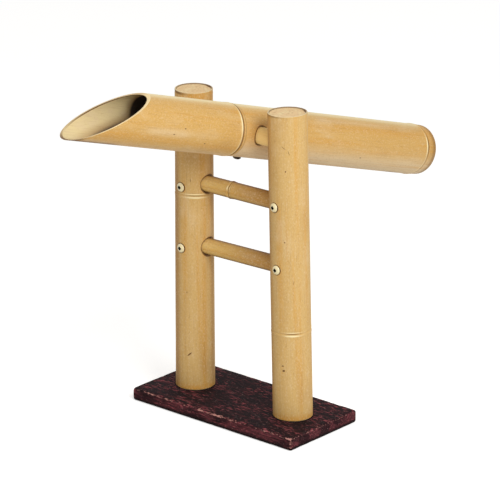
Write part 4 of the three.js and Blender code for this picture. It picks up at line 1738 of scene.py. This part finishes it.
def build_tube():
    """The tube's surface runs from the middle diaphragm out to the slanting mouth and back to the tail."""
    culm = tube_culm()
    angles = angles_round(TUBE_COLUMNS)
    bamboo = settings().bamboo
    marks = tube_marks(culm)
    finishes = culm_finishes("spout tube", culm, bamboo.tube_skin, bamboo.cut, marks, True)
    rows = tube_inside_rows(culm, angles) + mouth_rows(culm, angles)
    rows += tube_skin_rows(culm, angles) + tail_rows(culm)
    tube = culm_piece("spout_tube_bamboo", culm, rows, finishes, TUBE_COLUMNS)
    cut = finishes[CUT]
    hollow = hollow_between("tube_hollow", culm, *culm.nodes, finishes[INSIDE])
    cut_away(tube, [hollow, axle_bore(cut), axle_screw_bore(cut)])
    settle(tube, "rocker", "bamboo_tube", "rocker_tube")


def axle_screw_place():
    """Up into the tube from below, at the pivot; angles run from the spout's side."""
    tube = tube_place()
    seat = settings().rocker.tail_front_radius + settings().screws.seat_gap
    return Place(tube.origin - seat * tube.start, tube.start, -tube.along)


def axle_screw_shank():
    """Radius and length: the screw goes through the tube's wall and past the middle of the axle."""
    screws = settings().screws
    return screws.axle_radius, settings().rocker.tail_front_radius + screws.axle_past_axis


def axle_screw_bore(material):
    return screw_bore("axle_screw", axle_screw_place(), axle_screw_shank(), material)


AXLE_ROWS = 40
AXLE_COLUMNS = 96


def build_axle():
    """A dowel with a chamfer at each end, turned in rows that are close enough for its grain."""
    rocker = settings().rocker
    low, high = axle_ends()
    place = axle_place()
    ease = rocker.axle_end_ease
    radius = rocker.axle_radius
    round_part = [(station, radius) for station in np.linspace(low + ease, high - ease, AXLE_ROWS)]
    profile = [(low, radius - ease), *round_part, (high, radius - ease)]
    wood = bare_wood("Planed dowel", place, settings().bamboo.dowel)
    dowel = turned_bar("axle_dowel", place, profile, wood, AXLE_COLUMNS)
    cut_away(dowel, [axle_screw_bore(wood)])
    settle(dowel, "rocker", "dowel_wood", "axle")


SCREW_COLUMNS = 48
# The thread: its core as a share of its radius, its rows in a pitch, and its section, a triangle made
# steeper and clipped flat at the crest and the root
THREAD_CORE_SHARE = 0.74
THREAD_ROWS = 8
THREAD_STEEPNESS = 1.6
THREAD_CREST_SHARE = 0.3
POINT_SHARES = (1.0, 0.6, 0.3)
# A truss head's dome from near its top to its edge, in radians, and the rim under it: heights and radii
# as shares of the head's
DOME_TURNS = np.linspace(1.45, 0.16, 14)
HEAD_RIM_SHARES = ((0.06, 1.0), (0.01, 0.985), (0.0, 0.95), (0.0, 0.5))
# A cross recess: its depth as a share of the head's height, and its mouth and floor as shares of its size
RECESS_DEPTH_SHARE = 0.8
RECESS_MOUTH_SHARE = 1.15
RECESS_FLOOR_SHARE = 0.6
FLAT_RIM_SHARE = 0.02


def thread_rows(radius, start, end, pitch):
    """Rows of a screw thread: radius falls and rises with the station less the angle's share of a pitch."""
    angles = angles_round(SCREW_COLUMNS)
    rows = []
    for station in np.arange(start, end, pitch / THREAD_ROWS):
        phase = (station / pitch - angles / (2 * np.pi)) % 1
        section = np.clip(THREAD_STEEPNESS * np.abs(2 * phase - 1) - THREAD_CREST_SHARE, 0, 1)
        rows.append((station, radius - (1 - THREAD_CORE_SHARE) * radius * section))
    return rows


def cross_recess(name, place, top, depth, head_radius, dirt):
    """A cross-shaped pit that narrows as it deepens, as a shape to cut away from a head's top."""
    screws = settings().screws
    reach = head_radius * screws.recess_reach_share
    width = head_radius * screws.recess_width_share
    corners = np.array([(reach, -width), (reach, width), (width, width)])
    quarter = np.array([[0, -1], [1, 0]])
    outline = np.concatenate([corners @ np.linalg.matrix_power(quarter, turned).T for turned in range(4)])
    points = [
        place.origin + station * place.along + x * place.start + y * place.side
        for station, size_share in ((top - depth, RECESS_MOUTH_SHARE), (top + depth, RECESS_FLOOR_SHARE))
        for x, y in outline * size_share
    ]
    count = len(outline)
    around = [[i, (i + 1) % count, count + (i + 1) % count, count + i] for i in range(count)]
    faces = around + [list(range(count))[::-1], list(range(count, 2 * count))]
    return mesh_piece(f"{name}_recess", np.array(points), faces, [dirt], [0] * len(faces))


def screw_piece(name, place, head_rows, shank, finish):
    """A screw: a head given by rows of stations and radii, a threaded shank, and a point."""
    pitch = settings().screws.pitch
    radius, end = shank
    point = 2 * radius
    rows = [(head_rows[0][0], 0.0), *head_rows]
    rows += thread_rows(radius, rows[-1][0] + pitch / 4, end - point, pitch)
    rows += [(end - point * left, THREAD_CORE_SHARE * radius * left) for left in POINT_SHARES]
    rows.append((end, 0.0))
    stations = over_angles([row[0] for row in rows], SCREW_COLUMNS)
    radii = over_angles([row[1] for row in rows], SCREW_COLUMNS)
    grid = place.points(stations, radii, angles_round(SCREW_COLUMNS)[None, :])
    return closed_piece(name, grid, [finish], [0] * len(rows))


def truss_screw(name, place, shank, head, finish):
    """A screw whose head is a quarter of an ellipse turned round, with a short rim and a cross recess."""
    radius, height = head
    dome = [(-height * math.sin(turned), radius * math.cos(turned)) for turned in DOME_TURNS]
    rim = [(-height * rise, radius * out) for rise, out in HEAD_RIM_SHARES]
    screw = screw_piece(name, place, dome + rim, shank, finish)
    # The recess is painted nearly black for its shade
    dirt = painted_recess_shade(f"Dirty recess, {name}")
    cut_away(screw, [cross_recess(name, place, -height, height * RECESS_DEPTH_SHARE, radius, dirt)])
    return screw


def build_rung_screws():
    """Four ivory screws that pin the rungs, all with one finish."""
    screws = settings().screws
    finish = lacquered_head("Ivory lacquered steel")
    head = (screws.rung_head_radius, screws.rung_head_height)
    for screw in RUNG_SCREWS:
        place = rung_screw_place(screw)
        piece = truss_screw(f"{screw.name}_ivory", place, rung_screw_shank(), head, finish)
        settle(piece, "stand", "ivory_screw", screw.name)


def build_axle_screw():
    """The dark screw whose head shows under the tube."""
    screws = settings().screws
    finish = worn_steel("Darkened steel", settings().metal.dark_steel, 0.4)
    head = (screws.axle_head_radius, screws.axle_head_height)
    piece = truss_screw("axle_screw_dark", axle_screw_place(), axle_screw_shank(), head, finish)
    settle(piece, "rocker", "dark_screw", "axle_screw")


def base_screw_place(side):
    """Straight up through the board under the middle of a post's foot."""
    foot = post_place(side).origin
    return Place(vector(foot[0], 0, settings().screws.base_head_sink), vector(0, 0, 1), vector(1, 0, 0))


BASE_BORE_COLUMNS = 40


def base_screw_bore(side, material):
    """The countersunk hole of a base screw."""
    screws = settings().screws
    radius = screws.base_radius + screws.hole_gap
    head = screws.base_head_radius + screws.hole_gap
    reach = screws.base_length + screws.hole_gap
    profile = [(-HEAD_OVERRUN, head), (0, head), (head - radius, radius), (reach, radius)]
    return turned_bar(f"{side}_base_bore", base_screw_place(side), profile, material, BASE_BORE_COLUMNS)


def build_base_screw(side):
    """A flat-head screw: a cone under a thin rim, with a cross recess."""
    screws = settings().screws
    place = base_screw_place(side)
    head, radius = screws.base_head_radius, screws.base_radius
    rim = FLAT_RIM_SHARE * head
    cone = [(0.0, head / 2), (0.0, head - rim), (rim, head), (head - radius, radius)]
    finish = worn_steel(f"Zinc plated steel, {side} base screw", settings().metal.zinc, 0.38)
    screw = screw_piece(f"{side}_base_screw_zinc", place, cone, (radius, screws.base_length), finish)
    # The recess is painted nearly black for its shade
    dirt = painted_recess_shade(f"Dirty recess, {side} base screw")
    cut_away(screw, [cross_recess(f"{side}_base", place, 0.0, head - radius, head, dirt)])
    settle(screw, "stand", "zinc_screw", f"{side}_base_screw")


OUTLINE_STEP = 1.6 * MM
CORNER_ROWS = 9
# The corners of a rectangle, in the order of the outline
CORNERS = np.array([(1, 1), (-1, 1), (-1, -1), (1, -1)])
# Knocks along the edges: how many, the least depth of one as a share of the deepest, and the least and
# greatest half width as shares of the outline
KNOCKS = 46
LEAST_KNOCK_SHARE = 0.3
KNOCK_WIDTH_SHARES = (0.0012, 0.006)
# Worn places along the front edge: the middle and half width in millimetres from the board's middle, and
# how worn they are
FRONT_WEAR = [(-81, 8, 0.5), (-63, 7, 0.5), (-15, 3, 1), (8, 12, 1), (30, 4, 0.7)]
FRONT_WEAR += [(78, 14, 0.35), (102, 3, 0.9)]
# How worn the top edge is everywhere, how much more in front and in the worn places there, how worn it
# is at most, and how worn the nearest upright corner is
EDGE_WEAR = 0.5
FRONT_MORE = 0.12
PLACES_MORE = 0.7
MOST_WEAR = 1.2
CORNER_WEAR = 0.8
# Where round the top edge the wear is greatest, and how wide it is, as shares of the edge's height
WORN_SHARE, WORN_WIDTH_SHARE = 0.62, 0.42
# The flat parts of the board's top and underside, as shares of their rows' size
TOP_SHARES = np.linspace(1, 0, 10)[1:]
UNDERSIDE_SHARES = (0, 0.35, 0.7, 0.95)


def rounded_rectangle(inset):
    """Points round the board's outline, set in from its edge, and their outward directions.

    Each quarter is an arc and a straight run: point = corner centre + (corner - inset) x direction.
    """
    board = settings().board
    corner = board.corner_radius
    half = np.array([board.length / 2 - corner, board.width / 2 - corner])
    points, outward = [], []
    for quarter in range(4):
        centre = half * CORNERS[quarter]
        arc = np.pi / 2 * quarter + np.linspace(0, np.pi / 2, CORNER_ROWS)
        directions = np.stack([np.cos(arc), np.sin(arc)], axis=-1)
        points.append(centre + (corner - inset) * directions)
        outward.append(directions)
        run = half * CORNERS[(quarter + 1) % 4] - centre
        count = max(2, int(np.abs(run).sum() / OUTLINE_STEP))
        shares = np.linspace(0, 1, count + 1)[1:-1, None]
        points.append(centre + (corner - inset) * directions[-1] + run * shares)
        outward.append(np.repeat(directions[-1:], len(shares), axis=0))
    return np.concatenate(points), np.concatenate(outward)


@dataclass
class BoardRow:
    """A row round the board: its height, its inset, and how much of each mark and knock it takes."""

    height: float
    inset: float
    side_share: float
    wear_share: float = 0.0
    stain_share: float = 0.0
    knock_share: float = 0.0


def board_rows():
    """The board's rows from its underside over the side to its top, with both edges rounded."""
    board = settings().board
    ease = board.edge_ease
    top = board.thickness
    rows = []
    for height, inset in rounded(ease, 7)[::-1]:
        rows.append(BoardRow(height, inset, 0.8, 0.1, 1.0, 0.5))
    for rise_share in np.linspace(0, 1, 10)[1:-1]:
        height = ease + (top - 2 * ease) * rise_share
        rows.append(BoardRow(height, 0.0, 1.0, 0.25, max(0.0, 1 - 3 * rise_share), 0.2))
    for below, inset in rounded(ease, 9):
        shown = 1 - below / ease
        wear = bell(shown, WORN_SHARE, WORN_WIDTH_SHARE)
        rows.append(BoardRow(top - below, inset, 1 - 0.8 * shown, wear, knock_share=1.0))
    rows.append(BoardRow(top, (ease + board.corner_radius) / 2, 0.1))
    return rows


def knocks_round(count):
    """How deep the outline is knocked in at each of its points.

    The knocks are bells with chance places, widths and depths, which add up to the deepest at most.
    """
    chance = np.random.default_rng(5)
    shares = np.arange(count) / count
    middles = chance.uniform(0, 1, KNOCKS)
    widths = chance.uniform(*KNOCK_WIDTH_SHARES, KNOCKS)
    knocks = sum(
        chance.uniform(LEAST_KNOCK_SHARE, 1) * bell((shares - middle + 0.5) % 1 - 0.5, 0, width)
        for middle, width in zip(middles, widths)
    )
    return np.clip(knocks, 0, 1) * settings().board.knock_depth


def edge_wear(edge):
    """How worn the top edge is along the outline: patches on the front edge and a little everywhere."""
    front = edge[:, 1] < 0
    worn = sum(most * bell(edge[:, 0], at * MM, wide * MM) for at, wide, most in FRONT_WEAR)
    return np.clip(EDGE_WEAR + front * (FRONT_MORE + worn * PLACES_MORE), 0, MOST_WEAR)


def corner_wear(edge):
    """How worn the upright corners are: only the one nearest the viewer, by a bell round it."""
    board = settings().board
    away = np.hypot(edge[:, 0] - board.length / 2, edge[:, 1] + board.width / 2)
    return CORNER_WEAR * bell(away, 0, board.edge_ease)


def build_board():
    """The board's surface runs from the middle of its underside over its side to the middle of its top."""
    board = settings().board
    edge, outward = rounded_rectangle(0)
    count = len(edge)
    knocks = knocks_round(count)
    # Darker along the back and left top edges, and on the lower side rows towards the bottom
    back_and_left_edges = np.clip(outward[:, 1] - outward[:, 0], 0, 1)
    points, side, wear, stain = [], [], [], []
    for row in board_rows():
        knocked = knocks * row.knock_share
        upper = row.height > board.thickness / 2
        flat = rounded_rectangle(row.inset)[0] - outward * knocked[:, None]
        points.append(np.column_stack([flat, row.height - (1 if upper else -1) * knocked / 2]))
        side.append(np.full(count, row.side_share))
        at_corner = corner_wear(edge) if row.height > board.edge_ease else 0
        wear.append(row.wear_share * edge_wear(edge) + at_corner)
        stain.append(np.maximum(row.stain_share, row.knock_share * upper * back_and_left_edges))
    underside = [points[0] * [size, size, 0] for size in UNDERSIDE_SHARES]
    flat_top = [points[-1] * [size, size, 1] for size in TOP_SHARES]
    rows = np.array(underside + points + flat_top)
    before, after = np.zeros((len(underside), count)), np.zeros((len(flat_top), count))
    marks = {
        label: np.concatenate([before, values, after])
        for label, values in (("side", side), ("wear", wear), ("edge", stain))
    }
    finish = stained_board("Stained sawn softwood")
    slab = closed_piece("stained_base_board", rows, [finish], [0] * len(rows), marks)
    cut_away(slab, [base_screw_bore(post_side, finish) for post_side in SIDES])
    settle(slab, "stand", "stained_board", "base_board")


def finish_plug(side):
    """Gives a packed plug its bare wood: it is hidden in the post's foot, so its own shape stays."""
    finish = bare_wood(f"Bare wood, {side} plug", post_place(side), settings().bamboo.plug)
    materials = frame["nodes"][f"{side}_foot_plug"].data.materials
    materials.clear()
    materials.append(finish)


# Operators


class SHISHI_OT_board(bpy.types.Operator):
    """Build the stained base board"""

    bl_idname = "shishi.board"
    bl_label = "Base Board"

    def execute(self, context):
        build_board()
        return {"FINISHED"}


class SHISHI_OT_posts(bpy.types.Operator):
    """Build both bamboo posts, finish their plugs, and add the screws that come up through the board"""

    bl_idname = "shishi.posts"
    bl_label = "Posts"

    def execute(self, context):
        for step in (finish_plug, build_post, build_base_screw):
            for side in SIDES:
                step(side)
        return {"FINISHED"}


class SHISHI_OT_rungs(bpy.types.Operator):
    """Build the upper and the lower rung and the four ivory screws that pin them"""

    bl_idname = "shishi.rungs"
    bl_label = "Rungs"

    def execute(self, context):
        for rung in ("upper", "lower"):
            build_rung(rung)
        build_rung_screws()
        return {"FINISHED"}


class SHISHI_OT_rocker(bpy.types.Operator):
    """Build the spout tube, the dowel that it rocks on, and the dark screw that holds them together"""

    bl_idname = "shishi.rocker"
    bl_label = "Rocker"

    def execute(self, context):
        build_tube()
        build_axle()
        build_axle_screw()
        return {"FINISHED"}


# The camera's sensor in millimetres, and how far it sees in metres
SENSOR_WIDTH = 36
CLIP_END = 100
WHITE = (1.0, 1.0, 1.0, 1.0)


def seen_from(azimuth, elevation):
    """The direction towards a viewer at an azimuth from -Y towards +X and an elevation above level."""
    level = math.cos(elevation)
    return Vector((math.sin(azimuth) * level, -math.cos(azimuth) * level, math.sin(elevation)))


def aimed(name, data, place, target):
    """A camera or lamp at a place, looking at a target."""
    thing = bpy.data.objects.new(name, data)
    bpy.context.scene.collection.objects.link(thing)
    thing.location = place
    thing.rotation_euler = (target - place).to_track_quat("-Z", "Y").to_euler()
    return thing


def add_camera():
    stage = settings().stage
    data = bpy.data.cameras.new("Camera")
    data.lens = stage.lens
    data.sensor_width = SENSOR_WIDTH
    data.clip_end = CLIP_END
    target = Vector(stage.target)
    place = target + stage.distance * seen_from(stage.azimuth, stage.elevation)
    bpy.context.scene.camera = aimed("Camera", data, place, target)


def add_lamps():
    """A large soft lamp high on the right, which lights the posts' right side, and a weak one in front."""
    stage = settings().stage
    target = Vector(stage.target)
    for kind in ("key", "fill"):
        azimuth, elevation, away, size, power = (
            getattr(stage, f"{kind}_{part}") for part in ("azimuth", "elevation", "distance", "size", "power")
        )
        data = bpy.data.lights.new(f"{kind.capitalize()} lamp", "AREA")
        data.shape = "SQUARE"
        data.size = size
        data.energy = power
        aimed(data.name, data, target + away * seen_from(azimuth, elevation), target)


def direct_view(tree):
    """1 for what the camera, a mirror or clear glass sees directly, 0 for the light that falls on things."""
    path = add(tree, "ShaderNodeLightPath")
    seen = path.outputs["Is Camera Ray"]
    for kind in ("Is Glossy Ray", "Is Transmission Ray"):
        either = {0: seen, 1: path.outputs[kind]}
        seen = add(tree, "ShaderNodeMath", either, operation="MAXIMUM").outputs["Value"]
    return seen


def add_room():
    """A white room: plain white to the camera, and an even soft light on the object."""
    world = bpy.data.worlds.new("White room")
    bpy.context.scene.world = world
    world.use_nodes = True
    tree = world.node_tree
    tree.nodes.clear()
    levels = {"Value": direct_view(tree), "To Min": settings().stage.room_light, "To Max": 1.0}
    light = add(tree, "ShaderNodeMapRange", levels)
    glow = add(tree, "ShaderNodeBackground", {"Color": WHITE, "Strength": light.outputs["Result"]})
    add(tree, "ShaderNodeOutputWorld", {"Surface": glow.outputs["Background"]})


def add_floor():
    """A plain pale floor that takes the object's shadow and turns white where nothing shades it."""
    stage = settings().stage
    half = stage.floor_size / 2
    corners = [(-half, -half, 0), (half, -half, 0), (half, half, 0), (-half, half, 0)]
    material, tree = new_material("White studio floor")
    matt = add(tree, "ShaderNodeBsdfDiffuse", {"Color": stage.floor})
    seen = add(tree, "ShaderNodeLightPath").outputs["Is Camera Ray"]
    lift = add(tree, "ShaderNodeMath", {0: seen, 1: stage.floor_lift}, operation="MULTIPLY")
    glow = add(tree, "ShaderNodeEmission", {"Color": WHITE, "Strength": lift.outputs["Value"]})
    both = add(tree, "ShaderNodeAddShader", {0: matt.outputs["BSDF"], 1: glow.outputs["Emission"]})
    add(tree, "ShaderNodeOutputMaterial", {"Surface": both.outputs["Shader"]})
    floor = mesh_piece("floor", np.array(corners), [[0, 1, 2, 3]], [material], [0])


class SHISHI_OT_stage(bpy.types.Operator):
    """Set up the camera, the pale floor and the soft studio light"""

    bl_idname = "shishi.stage"
    bl_label = "Stage"

    def execute(self, context):
        add_camera()
        add_lamps()
        add_room()
        add_floor()
        context.scene.view_settings.view_transform = "Standard"
        return {"FINISHED"}


class SHISHI_PT_panel(bpy.types.Panel):
    """Lists the pieces and their settings"""

    bl_idname = "SHISHI_PT_panel"
    bl_label = "Shishi Odoshi"
    bl_space_type = "VIEW_3D"
    bl_region_type = "UI"
    bl_category = "Shishi Odoshi"

    def draw(self, context):
        for step in STEPS:
            self.layout.operator(step.bl_idname)
        for group in GROUPS:
            box = self.layout.box()
            box.label(text=group.capitalize())
            chosen = getattr(context.scene.shishi_odoshi, group)
            for label in chosen.bl_rna.properties.keys():
                if label not in ("rna_type", "name"):
                    box.prop(chosen, label)


# The operators in the order in which they run
STEPS = (SHISHI_OT_stage, SHISHI_OT_board, SHISHI_OT_posts, SHISHI_OT_rungs, SHISHI_OT_rocker)
CLASSES = (*GROUPS.values(), ShishiOdoshiSettings, *STEPS, SHISHI_PT_panel)


def register():
    for kind in CLASSES:
        bpy.utils.register_class(kind)
    bpy.types.Scene.shishi_odoshi = bpy.props.PointerProperty(
        type=ShishiOdoshiSettings, name="Shishi Odoshi", description="Settings of the shishi odoshi"
    )


def unregister():
    del bpy.types.Scene.shishi_odoshi
    for kind in reversed(CLASSES):
        bpy.utils.unregister_class(kind)


def main():
    """Registers the add-on and builds every piece."""
    register()
    for step in STEPS:
        group, name = step.bl_idname.split(".")
        getattr(getattr(bpy.ops, group), name)()


if __name__ == "__main__":
    main()
